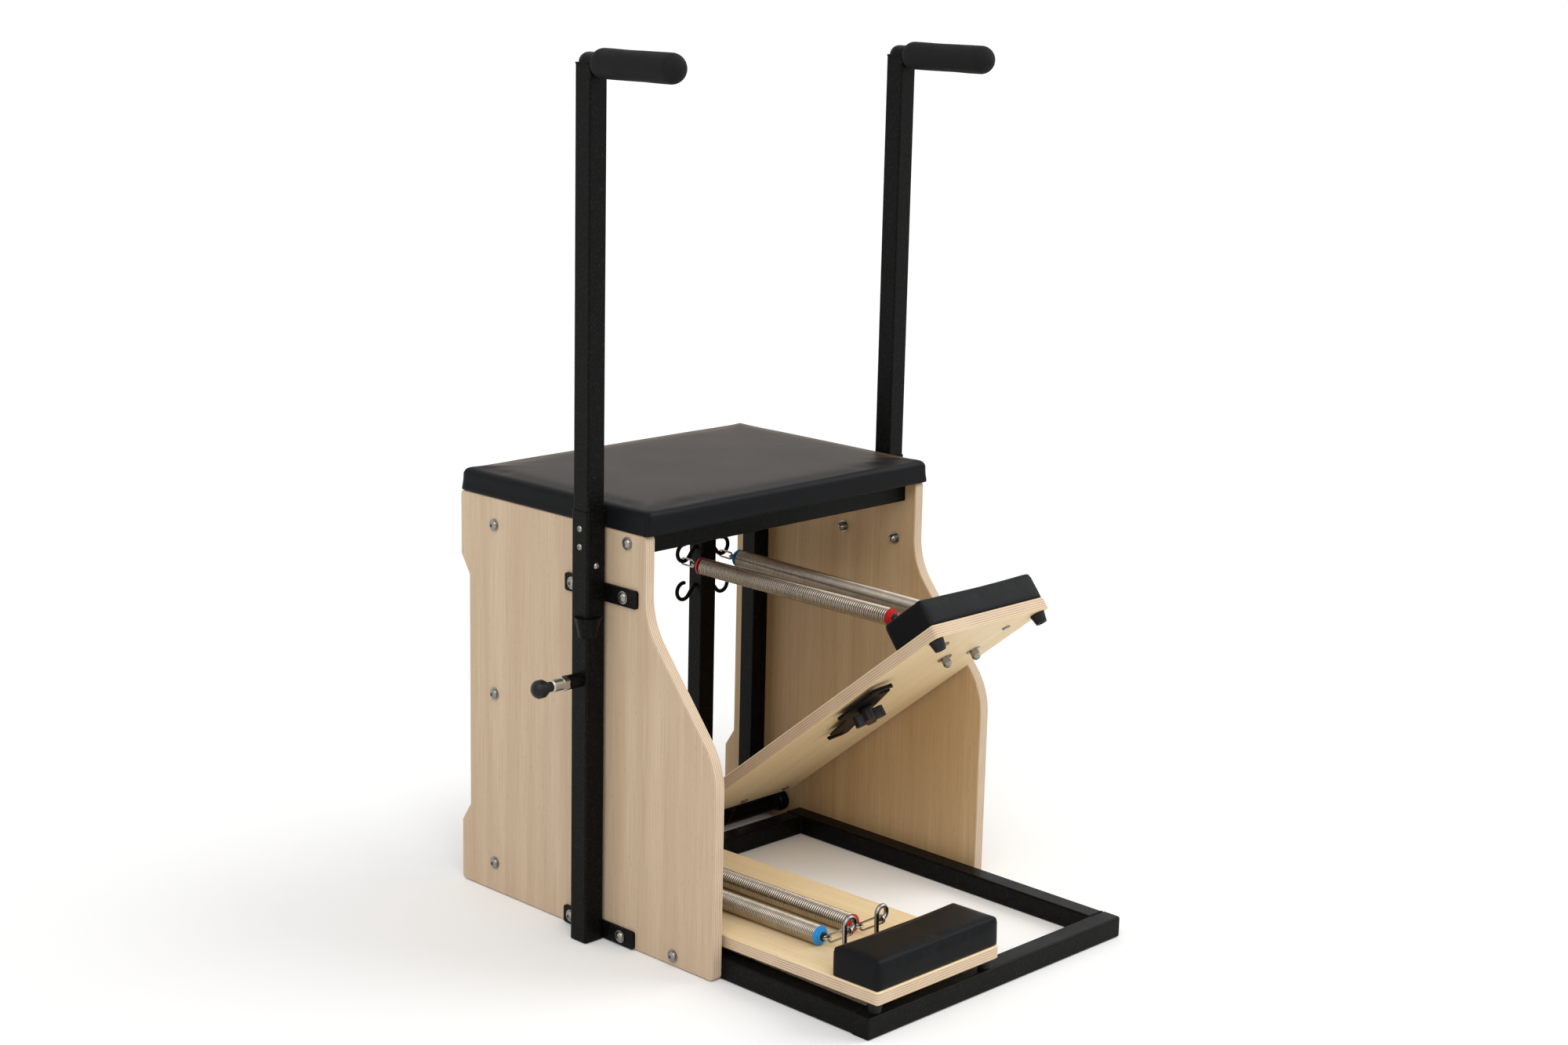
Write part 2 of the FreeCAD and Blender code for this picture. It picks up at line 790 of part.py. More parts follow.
def pin_spring():
    """Return spring of a pull pin, drawn as the sleeve that it fills when the pin is out."""
    end = sleeve_length + jam_nut_thick + barrel_length - barrel_wall
    start = pin_place(collar_start + pin_collar_thick + pin_travel + fit_gap)
    sleeve = rod(start, pin_place(end), pin_collar - 2 * pin_bore_gap)
    return sleeve.cut(rod(start, pin_place(end), pin_stem + 2 * spring_gap))


# Pedals, built flat about the hinge axis and then swung to their rest angle

def swung(shape, angle):
    """Turn a pedal piece about the hinge axis and set it on the chair."""
    moved = shape.copy()
    moved.rotate(Vector(0, 0, 0), X_AXIS, -angle)
    moved.translate(Vector(0, pivot_y, pivot_height))
    return moved


def pedal_point(x, u, v, angle):
    """The place on the chair of a point given in a pedal's own frame."""
    turn = math.radians(angle)
    y = pivot_y - u * math.cos(turn) + v * math.sin(turn)
    z = pivot_height + u * math.sin(turn) + v * math.cos(turn)
    return Vector(x, y, z)


def pedal_board(lock_hole):
    """Plywood pedal, drilled for its fittings and, on one side, for the lock plate's bolt."""
    inner = pedal_gap / 2
    board = block((inner, inner + pedal_width), (-pedal_front, -pedal_rear), (pedal_lift, board_top))
    board = board.makeFillet(pedal_corner, edges_along(board, Z_AXIS))
    rims = [edge for edge in board.Edges if abs(edge.tangentAt(edge.FirstParameter).dot(Z_AXIS)) < 0.5]
    board = board.makeChamfer(panel_ease, rims)
    holes = [(x, u, low_bolt) for x, u in low_bolt_places()]
    holes += [(x, hook_forward, hook_rod) for x in hook_places()]
    if lock_hole:
        holes.append((pedal_gap / 2 + lock_inset, lock_forward, lock_pin))
    for x, u, size in holes:
        board = board.cut(rod(Vector(x, -u, pedal_lift - cut_over), Vector(x, -u, board_top + cut_over),
                              size + 2 * hole_gap))
    return board


def foot_centre():
    """Middle of the foot pad along the board."""
    return pedal_front - foot_front_inset - foot_depth / 2


def low_bolt_places():
    """Low-headed bolts of the foot pad and of the hinge plate."""
    places = [(pedal_centre + side * foot_bolt_offset, foot_centre()) for side in (-1, 1)]
    places += [(pedal_centre + side * hinge_bolt_offset, hinge_bolt_forward) for side in (-1, 0, 1)]
    return places


def hook_places():
    """The two hook bolts of a pedal: one in the middle, one towards the outside."""
    return (pedal_centre, pedal_centre + hook_spacing)


def foot_pad():
    """Padded foot bar at the front of a pedal."""
    size = (pedal_width - 2 * foot_side_inset, foot_depth, foot_height)
    pad = cushion(size, foot_corner, foot_draw, foot_tuck, foot_roll, foot_crown, foot_crown_inset)
    pad.translate(Vector(pedal_centre, -foot_centre(), board_top))
    for x, u in low_bolt_places()[:2]:
        pad = pad.cut(rod(Vector(x, -u, board_top), Vector(x, -u, board_top + bolt_bite + fit_gap),
                          low_bolt + 2 * hole_gap))
    return pad


def hinge_bracket():
    """Tube on the axle, arms and folded plate bolted on top of the board's back end."""
    inner = pedal_gap / 2 + hinge_tube_inset
    outer = pedal_gap / 2 + pedal_width - hinge_tube_inset
    barrel = rod(Vector(inner, 0, 0), Vector(outer, 0, 0), 2 * hinge_radius)
    plate_in = inner + hinge_plate_inset
    plate_out = outer - hinge_plate_inset
    web_rear = pedal_rear - fit_gap - hinge_arm_behind
    web_front = pedal_rear - fit_gap
    plate = block((plate_in, plate_out), (-web_rear - hinge_plate_depth, -web_rear),
                  (board_top, board_top + hinge_plate))
    web = block((plate_in, plate_out), (-web_front, -web_rear), (pedal_lift, board_top + hinge_plate))
    arm_outline = [
        Vector(0, 0, hinge_radius),
        Vector(0, -web_front, board_top + hinge_plate),
        Vector(0, -web_front, pedal_lift),
        Vector(0, 0, -hinge_radius),
    ]
    arms = []
    for x in (plate_in, pedal_centre - hinge_arm_thick / 2, plate_out - hinge_arm_thick):
        arm = Part.Face(outline(arm_outline)).extrude(Vector(hinge_arm_thick, 0, 0))
        arm.translate(Vector(x, 0, 0))
        arms.append(arm)
    whole = barrel.fuse([plate, web] + arms)
    whole = whole.cut(rod(Vector(inner - cut_over, 0, 0), Vector(outer + cut_over, 0, 0), hinge_bore))
    for x, u in low_bolt_places()[2:]:
        whole = whole.cut(rod(Vector(x, -u, pedal_lift), Vector(x, -u, board_top + hinge_plate + cut_over),
                              low_bolt + 2 * hole_gap))
    return whole.removeSplitter()


def hinge_bushes():
    """Plain bushes that carry the four hinge tube ends on the axle."""
    bushes = []
    inner = pedal_gap / 2 + hinge_tube_inset
    outer = pedal_gap / 2 + pedal_width - hinge_tube_inset
    for start, end in ((inner, inner + bush_length), (outer - bush_length, outer)):
        low = Vector(start, pivot_y, pivot_height)
        high = Vector(end, pivot_y, pivot_height)
        bush = rod(low, high, axle_size + 2 * bush_wall).cut(rod(low, high, axle_size))
        bushes += [bush, mirrored(bush)]
    return bushes


def axle_lugs():
    """Plates welded to the back bar that hold the pedal axle: one at each side and one between the pedals."""
    lugs = []
    outside = half_inner - lug_side_gap
    for start in (-outside, -lug_thick / 2, outside - lug_thick):
        axis = Vector(start, pivot_y, pivot_height)
        eye = rod(axis, axis + X_AXIS * lug_thick, 2 * lug_radius)
        face = post_y - half_tube
        arm = Part.Face(outline([
            Vector(start, face, tube - tube_corner),
            Vector(start, pivot_y, pivot_height + lug_radius),
            Vector(start, pivot_y, pivot_height - lug_radius),
            Vector(start, face, tube_corner),
        ])).extrude(Vector(lug_thick, 0, 0))
        lug = eye.fuse(arm).cut(rod(axis, axis + X_AXIS * lug_thick, axle_size))
        lugs.append(lug.removeSplitter())
    return lugs


def bumpers():
    """Rubber stops under the front corners of a pedal, as deep as the gap to the front bar."""
    rim = bumper_forward - bumper_tip / 2
    depth = pedal_lift + (pivot_height - tube + rim * math.sin(low_turn) - fit_gap) / math.cos(low_turn)
    shapes = []
    for x in (pedal_gap / 2 + bumper_side_inset, pedal_gap / 2 + pedal_width - bumper_side_inset):
        stop = Part.makeCone(bumper_base / 2, bumper_tip / 2, depth, Vector(x, -bumper_forward, pedal_lift),
                             Z_AXIS * -1)
        low = Vector(x, -bumper_forward, pedal_lift - depth)
        shapes.append(stop.cut(rod(low, low + Z_AXIS * bumper_bore_depth, bumper_bore)))
    return shapes


def pedal_hooks():
    """Question-mark hook bolts with a washer above and a domed nut below the board."""
    shapes = []
    below = Z_AXIS * -1
    for x in hook_places():
        foot = Vector(x, -hook_forward, pedal_lift)
        turn_point = Vector(x, -hook_forward, hook_centre)
        centre = turn_point - X_AXIS * hook_ring
        last = math.radians(hook_sweep_angle)
        points = [centre + Vector(math.cos(a), 0, math.sin(a)) * hook_ring for a in (last / 2, last)]
        path = Part.Wire([Part.makeLine(foot, turn_point), Part.Arc(turn_point, points[0], points[1]).toShape()])
        bolt = swept(path, hook_rod)
        top = Vector(x, -hook_forward, board_top)
        washer = rod(top, top + Z_AXIS * washer_thick, hook_washer)
        base = rod(foot, foot + below * washer_thick, hook_washer)
        radius = acorn_size / 2
        shoulder = acorn_rise - radius
        nut = turned([(0, 0), (radius, 0), (radius, shoulder), dome(radius, radius, shoulder)],
                     foot + below * washer_thick, below)
        shapes.append(bolt.fuse([washer, base, nut]))
    return shapes


def low_bolts():
    """Low-headed bolts under the board: two hold the foot pad, three the hinge plate."""
    shapes = []
    for index, (x, u) in enumerate(low_bolt_places()):
        foot = Vector(x, -u, pedal_lift)
        top = board_top + (bolt_bite if index < 2 else hinge_plate)
        head = rod(foot, foot - Z_AXIS * low_head_rise, low_head)
        shapes.append(rod(foot, Vector(x, -u, top), low_bolt).fuse(head))
    return shapes


# Bent rods, links and coils

def swept(path, size):
    """A round rod along a smooth wire."""
    start = path.Edges[0].valueAt(path.Edges[0].FirstParameter)
    along = path.Edges[0].tangentAt(path.Edges[0].FirstParameter)
    section = Part.Wire(Part.makeCircle(size / 2, start, along))
    return path.makePipeShell([section], True, False)


def hook_shank_height(centre_height):
    """Height at which a cup hook's shank enters the post."""
    return centre_height + post_hook_rise


def post_hooks():
    """Open cup hooks screwed into both sides of a spring post, two heights each."""
    first = math.radians(post_hook_neck_angle)
    last = math.radians(post_hook_tip_angle)
    shapes = []
    for height in post_hook_heights:
        for side in (-1, 1):
            centre = Vector(spring_post_offset + side * post_hook_reach, post_y, height)
            places = [centre + Vector(-side * math.cos(a), 0, math.sin(a)) * post_hook_ring
                      for a in (first, (first + last) / 2, last)]
            ring = swept(Part.Wire([Part.Arc(places[0], places[1], places[2]).toShape()]), post_hook_rod)
            neck_run = Vector(side * math.sin(first), 0, math.cos(first))
            bend = places[0] + neck_run * ((hook_shank_height(height) - places[0].z) / neck_run.z)
            neck = rod(places[0], bend, post_hook_rod)
            root = Vector(spring_post_offset + side * (half_tube - post_hook_bite), post_y, bend.z)
            shank = rod(root, bend, post_hook_rod)
            knuckle = Part.makeSphere(post_hook_rod / 2, bend)
            tip = Part.makeSphere(post_hook_rod / 2, places[2])
            shapes.append(shank.fuse([neck, ring, knuckle, tip]))
    return shapes


def biarc(start, start_run, end, end_run):
    """Two tangent arcs between two points with given directions."""
    span = end - start
    both = start_run + end_run
    bend = 2 * (1 - start_run.dot(end_run))
    reach = (-span.dot(both) + math.sqrt(span.dot(both) ** 2 + bend * span.dot(span))) / bend
    joint = (start + start_run * reach + end - end_run * reach) * 0.5
    edges = []
    for first, run, last in ((start, start_run, joint), (end, end_run * -1, joint)):
        chord = last - first
        along = Vector(chord).normalize()
        rise = run - along * run.dot(along)
        half_turn = math.atan2(rise.Length, run.dot(along)) / 2
        middle = (first + last) * 0.5 + Vector(rise).normalize() * (chord.Length / 2 * math.tan(half_turn))
        edges.append((first, middle, last))
    second = edges[1]
    return [Part.Arc(*edges[0]).toShape(), Part.Arc(second[2], second[1], second[0]).toShape()]


def coil(start, end):
    """One unbroken tube wound between two cap faces, in biarcs of a half turn."""
    axis = end - start
    along = Vector(axis).normalize()
    side = along.cross(X_AXIS).normalize()
    other = along.cross(side)
    length = axis.Length - coil_wire - 2 * end_gap
    radius = (coil_size - coil_wire) / 2
    pitch = length / coil_turns
    first = start + along * (coil_wire / 2 + end_gap)
    places = []
    for step in range(2 * coil_turns + 1):
        turn = math.radians(180 * step)
        around = side * math.cos(turn) + other * math.sin(turn)
        ahead = other * math.cos(turn) - side * math.sin(turn)
        run = ahead * radius + along * (pitch / (2 * math.pi))
        places.append((first + around * radius + along * (pitch * step / 2), run.normalize()))
    edges = []
    for (a, run_a), (b, run_b) in zip(places, places[1:]):
        edges += biarc(a, run_a, b, run_b)
    report_gap(edges)
    return swept(Part.Wire(edges), coil_wire)


def report_gap(edges):
    """Print the least gap of a coil to itself, measured on points along its middle line."""
    points = [edge.valueAt(edge.FirstParameter + (edge.LastParameter - edge.FirstParameter) * share)
              for edge in edges for share in (0, 0.25, 0.5, 0.75)]
    apart = 10
    least = min((points[i] - points[j]).Length for i in range(len(points)) for j in range(i + apart, len(points)))
    print("coil: least gap to itself %.2f mm" % (least - coil_wire))


def oval_link(hook_point, eye_point):
    """Closed link in a fore-and-aft plane, round a hook's rod at one end and a spring's eye at the other."""
    run = eye_point - hook_point
    along = Vector(run).normalize()
    side = along.cross(X_AXIS).normalize()
    radius = link_bore / 2 + link_wire / 2
    far = eye_point - along * link_slack
    path = Part.Wire([
        Part.Arc(hook_point + side * radius, hook_point - along * radius, hook_point - side * radius).toShape(),
        Part.makeLine(hook_point - side * radius, far - side * radius),
        Part.Arc(far - side * radius, far + along * radius, far + side * radius).toShape(),
        Part.makeLine(far + side * radius, hook_point + side * radius),
    ])
    return swept(path, link_wire)


def spring_eye(eye_point, along):
    """Wire eye on a short stem that is moulded into the spring's end cap."""
    centre = eye_point + along * eye_ring
    ring = Part.makeTorus(eye_ring, eye_wire / 2, centre, along.cross(X_AXIS))
    return ring.fuse(rod(centre + along * eye_ring, eye_point + along * (cap_face + cap_step), eye_wire))


def spring_cap(eye_point, along):
    """Coloured end cap: a disc with two smaller rings, against the coil's end."""
    outer = coil_size / 2
    middle = outer - cap_ring_inset
    inner = outer - cap_step_inset
    flange_end = cap_step + cap_flange
    return turned([
        (0, cap_step),
        (eye_wire / 2, cap_step),
        (eye_wire / 2, 0),
        (inner, 0),
        (inner, cap_step / 2),
        (middle, cap_step / 2),
        (middle, cap_step),
        (outer, cap_step),
        (outer, flange_end),
        (0, flange_end),
    ], eye_point + along * cap_face, along)


def spring_plug(eye_point, along):
    """Round plug behind a cap, which the coil's end turns are wound on."""
    start = eye_point + along * (cap_face + cap_step + cap_flange + end_gap)
    return rod(start, start + along * cap_plug, coil_size - 2 * (coil_wire + end_gap))


def spring_pieces(top_hook, top_eye, foot_eye, foot_hook):
    """A whole spring: coil, and a plug, cap, eye and link at each end."""
    along = Vector(foot_eye - top_eye).normalize()
    back = along * -1
    inset = cap_face + cap_step + cap_flange
    return {
        "coil": [coil(top_eye + along * inset, foot_eye - along * inset)],
        "top_cap": [spring_cap(top_eye, along), spring_plug(top_eye, along)],
        "foot_cap": [spring_cap(foot_eye, back)],
        "foot_plug": [spring_plug(foot_eye, back)],
        "top_link": [oval_link(top_hook, top_eye), spring_eye(top_eye, along)],
        "foot_link": [oval_link(foot_hook, foot_eye), spring_eye(foot_eye, back)],
    }


def stretched_places(index):
    """Hook and eye points of a spring from its post's cup hook to the raised pedal's hook."""
    side = (-1, 1)[index]
    top = Vector(spring_post_offset + side * post_hook_reach, post_y, post_hook_heights[-1] - post_hook_ring)
    foot = pedal_point(hook_places()[index] - hook_ring, hook_forward, hook_centre - hook_ring, pedal_high_angle)
    along = Vector(foot - top).normalize()
    return top, top + along * (top_link_pitch + link_slack), foot - along * (foot_link_pitch + link_slack), foot


def stored_places(index):
    """Hook and eye points of a spring laid back along its pedal, in the pedal's frame."""
    hung = stretched_places(index)
    length = (hung[2] - hung[1]).Length
    foot = Vector(hook_places()[index] - hook_ring, -hook_forward, hook_centre - hook_ring)
    lie = board_top + coil_size / 2 + fit_gap
    foot_run = foot_link_pitch + link_slack
    foot_eye = Vector(foot.x, foot.y + math.sqrt(foot_run ** 2 - (foot.z - lie) ** 2), lie)
    top_eye = foot_eye + Y_AXIS * length
    top_run = top_link_pitch + link_slack
    drop = coil_size / 2 - hinge_plate - link_bore / 2 - link_wire
    top = top_eye + Vector(0, math.sqrt(top_run ** 2 - drop ** 2), -drop)
    return top, top_eye, foot_eye, foot


def stored_springs():
    """Both springs of the left pedal, still in the pedal's frame on the right-hand side."""
    pieces = {"coils": [], "caps": [], "links": []}
    for index in (0, 1):
        laid = spring_pieces(*stored_places(index))
        pieces["coils"] += laid["coil"]
        pieces["caps"] += laid["top_cap"] + laid["foot_cap"] + laid["foot_plug"]
        pieces["links"] += laid["top_link"] + laid["foot_link"]
    return pieces


# Lock plate under the right pedal

def lock_axis_point(v):
    """A point on the lock plate's axis, in the pedal's frame."""
    return Vector(pedal_gap / 2 + lock_inset, -lock_forward, v)


def lock_plate():
    """Flat bar with a side slot near each end and a flared side to push, parked along the pedal."""
    half_slot = lock_slot_width / 2
    top = pedal_lift - lock_spacer
    nose = [
        Vector(lock_half_width, lock_nose_slot - half_slot, 0),
        Vector(0, lock_nose_slot - half_slot, 0),
        (Vector(-half_slot, lock_nose_slot, 0), Vector(0, lock_nose_slot + half_slot, 0)),
        Vector(lock_half_width, lock_nose_slot + half_slot, 0),
        Vector(lock_half_width - half_slot, lock_nose, 0),
        Vector(-lock_half_width, lock_nose, 0),
        Vector(-lock_half_width - lock_tab_reach, -lock_tab_rear, 0),
        Vector(-lock_half_width, -lock_tab_foot, 0),
    ]
    arm = [
        Vector(-lock_half_width, half_slot - lock_slot_reach, 0),
        Vector(0, half_slot - lock_slot_reach, 0),
        (Vector(half_slot, -lock_slot_reach, 0), Vector(0, -half_slot - lock_slot_reach, 0)),
        Vector(-lock_half_width, -half_slot - lock_slot_reach, 0),
        Vector(half_slot - lock_half_width, -lock_arm, 0),
        Vector(lock_half_width - half_slot, -lock_arm, 0),
        Vector(lock_half_width, half_slot - lock_arm, 0),
    ]
    plate = Part.Face(outline(nose + arm)).extrude(Vector(0, 0, lock_plate_thick))
    plate.rotate(Vector(0, 0, 0), X_AXIS, 180)
    plate.rotate(Vector(0, 0, 0), Z_AXIS, -lock_tilt_angle)
    plate.translate(lock_axis_point(top))
    low = lock_axis_point(top - lock_plate_thick - cut_over)
    return plate.cut(rod(low, lock_axis_point(top + cut_over), lock_pin + 2 * fit_gap))


def lock_pin_bolt():
    """Bolt and spacer that carry the lock plate, fixed through the right pedal."""
    head = rod(lock_axis_point(board_top), lock_axis_point(board_top + low_head_rise), 2 * lock_pin)
    shank = rod(lock_axis_point(board_top), lock_axis_point(pedal_lift - lock_pin_tail), lock_pin)
    spacer = rod(lock_axis_point(pedal_lift), lock_axis_point(pedal_lift - lock_spacer), lock_spacer_size)
    return shank.fuse([head, spacer])


def lock_knob():
    """Four-lobed clamping knob on the lock plate's bolt."""
    top = pedal_lift - lock_spacer - lock_plate_thick - fit_gap
    collar = rod(lock_axis_point(top), lock_axis_point(top - knob_collar), 2 * knob_hub)
    body_top = lock_axis_point(top - knob_collar)
    body_low = lock_axis_point(top - knob_collar - knob_body)
    lobes = [rod(body_top, body_low, 2 * knob_hub)]
    for step in range(4):
        turn = math.radians(90 * step + 45)
        shift = Vector(math.cos(turn), math.sin(turn), 0) * knob_lobe_reach
        lobes.append(rod(body_top + shift, body_low + shift, 2 * knob_lobe_radius))
        arm = block((0, knob_lobe_reach), (-knob_lobe_radius, knob_lobe_radius), (-knob_body, 0))
        arm.rotate(Vector(0, 0, 0), Z_AXIS, 90 * step + 45)
        arm.translate(body_top)
        lobes.append(arm)
    whole = collar.fuse(lobes).removeSplitter()
    return whole.cut(rod(lock_axis_point(top + cut_over), lock_axis_point(pedal_lift - lock_pin_tail - fit_gap),
                         lock_pin + 2 * hole_gap))


def lock_stud():
    """Headed stud under the left pedal that the turned lock plate slides round, in the right-hand frame."""
    x = lock_slot_reach - pedal_gap / 2 - lock_inset
    top = Vector(x, -lock_forward, pedal_lift)
    neck_end = Vector(x, -lock_forward, pedal_lift - stud_drop)
    stem = rod(top, neck_end, stud_size)
    return stem.fuse(rod(neck_end, neck_end - Z_AXIS * stud_head_thick, stud_head))


def build():
    """Make and write every node."""
    os.makedirs("parts", exist_ok=True)
    high = pedal_high_angle
    low = pedal_low_angle

    export_pair("side_panel", side_panel())
    export_pair("base_rail", base_rail())
    export("base_front_bar", base_front_bar())
    export("base_cross_bar", cross_tube(cross_bar_y, half_tube, half_inner - tube))
    export_pair("rear_post", rear_post())
    export("rear_bottom_bar", cross_tube(post_y, half_tube, half_inner - tube))
    export("rear_top_bar", cross_tube(post_y, panel_top - half_tube, half_inner - tube))
    export("spring_posts", [spring_post(), mirrored(spring_post())])
    export("seat_front_bar", seat_front_bar())
    export("seat_board", seat_board())
    export("seat_pad", seat_pad())

    bolts = []
    for place in panel_bolt_places():
        bolts.append(button_bolt(place, half_outer, wall_bite()))
    for place in bracket_bolt_places():
        through = place[1] > tube
        end = half_inner - washer_thick - nut_rise / 2 if through else wall_bite()
        bolts.append(button_bolt(place, half_outer + bracket_thick, end))
    nuts = [cap_nut(place, half_inner) for place in bracket_bolt_places() if place[1] > tube]
    fasteners = bolts + nuts
    export("panel_bolts", fasteners + [mirrored(shape) for shape in fasteners])

    export_pair("receiver", receiver())
    screws = glide_screws()
    export("glide_screws", screws + [mirrored(shape) for shape in screws])
    export_pair("handle_post", handle_post())
    export_pair("grip", grip())
    export("pin_barrels", [pin_barrel(), mirrored(pin_barrel())])
    export_pair("pin_plunger", pin_plunger())
    export_pair("pin_knob", pin_knob())
    export("pin_springs", [pin_spring(), mirrored(pin_spring())])

    axis = Vector(half_inner - lug_side_gap, pivot_y, pivot_height)
    export("pivot_axle", rod(Vector(-axis.x, axis.y, axis.z), axis, axle_size))
    export("axle_lugs", axle_lugs())
    export("hinge_bushes", hinge_bushes())
    hooks = post_hooks()
    export("post_hooks", hooks + [mirrored(shape) for shape in hooks])

    export("pedal_board_right", swung(pedal_board(True), high))
    export("pedal_board_left", swung(mirrored(pedal_board(False)), low))
    pedal = {
        "foot_pad": [foot_pad()],
        "hinge_bracket": [hinge_bracket()],
        "bumpers": bumpers(),
    }
    for name, shapes in pedal.items():
        export(name + "_right", [swung(shape, high) for shape in shapes])
        export(name + "_left", [swung(mirrored(shape), low) for shape in shapes])
    fittings = pedal_hooks() + low_bolts()
    export("pedal_fittings_right", [swung(shape, high) for shape in fittings + [lock_pin_bolt()]])
    export("pedal_fittings_left", [swung(mirrored(shape), low) for shape in fittings + [lock_stud()]])
    export("lock_plate", swung(lock_plate(), high))
    export("lock_knob", swung(lock_knob(), high))

    for index, name in enumerate(("inner", "outer")):
        for piece, shapes in spring_pieces(*stretched_places(index)).items():
            export(name + "_spring_" + piece, shapes)
    for piece, shapes in stored_springs().items():
        export("stored_spring_" + piece, [swung(mirrored(shape), low) for shape in shapes])


build()
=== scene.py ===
import math

import bmesh
import bpy
from mathutils import Matrix, Vector, noise
from mathutils.bvhtree import BVHTree


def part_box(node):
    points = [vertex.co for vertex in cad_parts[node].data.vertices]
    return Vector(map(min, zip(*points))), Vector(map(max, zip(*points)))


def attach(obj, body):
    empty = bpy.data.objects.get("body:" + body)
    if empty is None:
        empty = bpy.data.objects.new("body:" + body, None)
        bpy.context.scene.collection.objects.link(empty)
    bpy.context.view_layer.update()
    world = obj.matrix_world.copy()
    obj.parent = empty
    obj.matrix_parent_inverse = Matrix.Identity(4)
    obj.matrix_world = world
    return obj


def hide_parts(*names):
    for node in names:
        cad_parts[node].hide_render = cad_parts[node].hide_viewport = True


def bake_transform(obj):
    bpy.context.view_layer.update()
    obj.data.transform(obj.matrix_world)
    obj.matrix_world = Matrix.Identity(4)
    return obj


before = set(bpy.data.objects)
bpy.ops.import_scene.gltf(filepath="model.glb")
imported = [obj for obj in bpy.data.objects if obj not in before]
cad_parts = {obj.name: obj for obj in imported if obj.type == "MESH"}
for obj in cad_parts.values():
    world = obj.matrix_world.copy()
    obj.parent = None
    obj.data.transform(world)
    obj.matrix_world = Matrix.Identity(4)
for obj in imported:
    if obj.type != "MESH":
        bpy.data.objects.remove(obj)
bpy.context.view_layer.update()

# ---------------------------------------------------------------------------
# Welded frame: base, rear posts, spring posts, seat bar and pedal axle lugs.
# 30 mm square steel tube, welded, then sprayed with black hammertone powder
# coat, whose melted pebbles break every reflection into small sparkles, helped by
# painted highlights: paler specks in the base colour.

TUBE_NODES = ("base_front_bar", "base_rail_left", "base_rail_right", "base_cross_bar",
              "rear_post_left", "rear_post_right", "rear_bottom_bar", "rear_top_bar",
              "spring_posts", "seat_front_bar", "axle_lugs", "hinge_bracket_left",
              "hinge_bracket_right")


def linear(hex_colour):
    """An sRGB hex colour as linear RGBA."""
    parts = [int(hex_colour[k:k + 2], 16) / 255 for k in (1, 3, 5)]
    return [c / 12.92 if c <= 0.04045 else ((c + 0.055) / 1.055) ** 2.4 for c in parts] + [1.0]


def add(tree, kind, inputs=None, **settings):
    """One node with its settings, its inputs set to values or joined to other nodes' outputs."""
    made = tree.nodes.new(kind)
    for name, value in settings.items():
        setattr(made, name, value)
    for key, value in (inputs or {}).items():
        if isinstance(value, bpy.types.NodeSocket):
            tree.links.new(value, made.inputs[key])
        else:
            made.inputs[key].default_value = value
    return made


def new_finish(name):
    """An empty material and its node tree."""
    material = bpy.data.materials.new(name)
    material.use_nodes = True
    material.node_tree.nodes.clear()
    return material, material.node_tree


def coat(material, *names):
    """Give CAD nodes a finish in their material slots."""
    for name in names:
        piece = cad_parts[name]
        if not piece.material_slots:
            piece.data.materials.append(material)
        for slot in piece.material_slots:
            slot.material = material


# A colour Mix node's factor, its two colours and its result, by place among the sockets.
BY, FROM, TO, MIXED = 0, 6, 7, 2
# Most of a noise texture's values lie in this span.
NOISE_SPAN = {"From Min": 0.3, "From Max": 0.7}

# Hammertone powder coat: near-black polyester, satin, with 2.6 mm pebbles. The real ones are
# about 1.5 mm and are drawn coarser, so that they still show in the picture. The pebbles' hollows
# are painted darker, as painted shade. One 1.8 mm flake in five is painted paler in the base
# colour, a painted highlight standing in for flakes that catch the light.
powder_coat, tree = new_finish("black_hammertone_powder_coat")
place = add(tree, "ShaderNodeTexCoord").outputs["Object"]
pebbles = add(tree, "ShaderNodeTexVoronoi",
              {"Vector": place, "Scale": 1 / 0.0026, "Smoothness": 0.6}, feature="SMOOTH_F1")
film = add(tree, "ShaderNodeTexNoise", {"Vector": place, "Scale": 1 / 0.0011, "Detail": 2.0})
cloud = add(tree, "ShaderNodeTexNoise", {"Vector": place, "Scale": 1 / 0.06, "Detail": 3.0})
# Painted shade: the pebbles' hollows, sunk by the bump below, are painted darker.
shade = add(tree, "ShaderNodeMix", {
    BY: pebbles.outputs["Distance"], FROM: linear("#0B0B0A"), TO: linear("#050505")},
    data_type="RGBA")
# Painted highlights: one flake in five gets a paler base colour, standing in for flakes catching
# the light.
flakes = add(tree, "ShaderNodeTexVoronoi", {"Vector": place, "Scale": 1 / 0.0018})
glint_pick = add(tree, "ShaderNodeTexWhiteNoise", {"Vector": flakes.outputs["Position"]})
painted_glint = add(tree, "ShaderNodeMapRange", {
    "Value": glint_pick.outputs["Value"], "From Min": 0.80, "From Max": 1.0})
painted_glint_colour = add(tree, "ShaderNodeMix", {
    BY: painted_glint.outputs[0], FROM: shade.outputs[MIXED], TO: linear("#1A1A19")}, data_type="RGBA")
gloss = add(tree, "ShaderNodeMapRange", {
    "Value": cloud.outputs["Fac"], **NOISE_SPAN, "To Min": 0.34, "To Max": 0.46})
dimple = add(tree, "ShaderNodeBump", {
    "Height": pebbles.outputs["Distance"], "Strength": 0.25, "Distance": 0.0006}, invert=True)
skin = add(tree, "ShaderNodeBump", {
    "Height": film.outputs["Fac"], "Strength": 0.15, "Distance": 0.0003,
    "Normal": dimple.outputs[0]})
shader = add(tree, "ShaderNodeBsdfPrincipled", {
    "Base Color": painted_glint_colour.outputs[MIXED], "Roughness": gloss.outputs[0],
    "Normal": skin.outputs[0], "IOR": 1.4, "Specular IOR Level": 0.12})
add(tree, "ShaderNodeOutputMaterial", {"Surface": shader.outputs[0]})
coat(powder_coat, *TUBE_NODES)


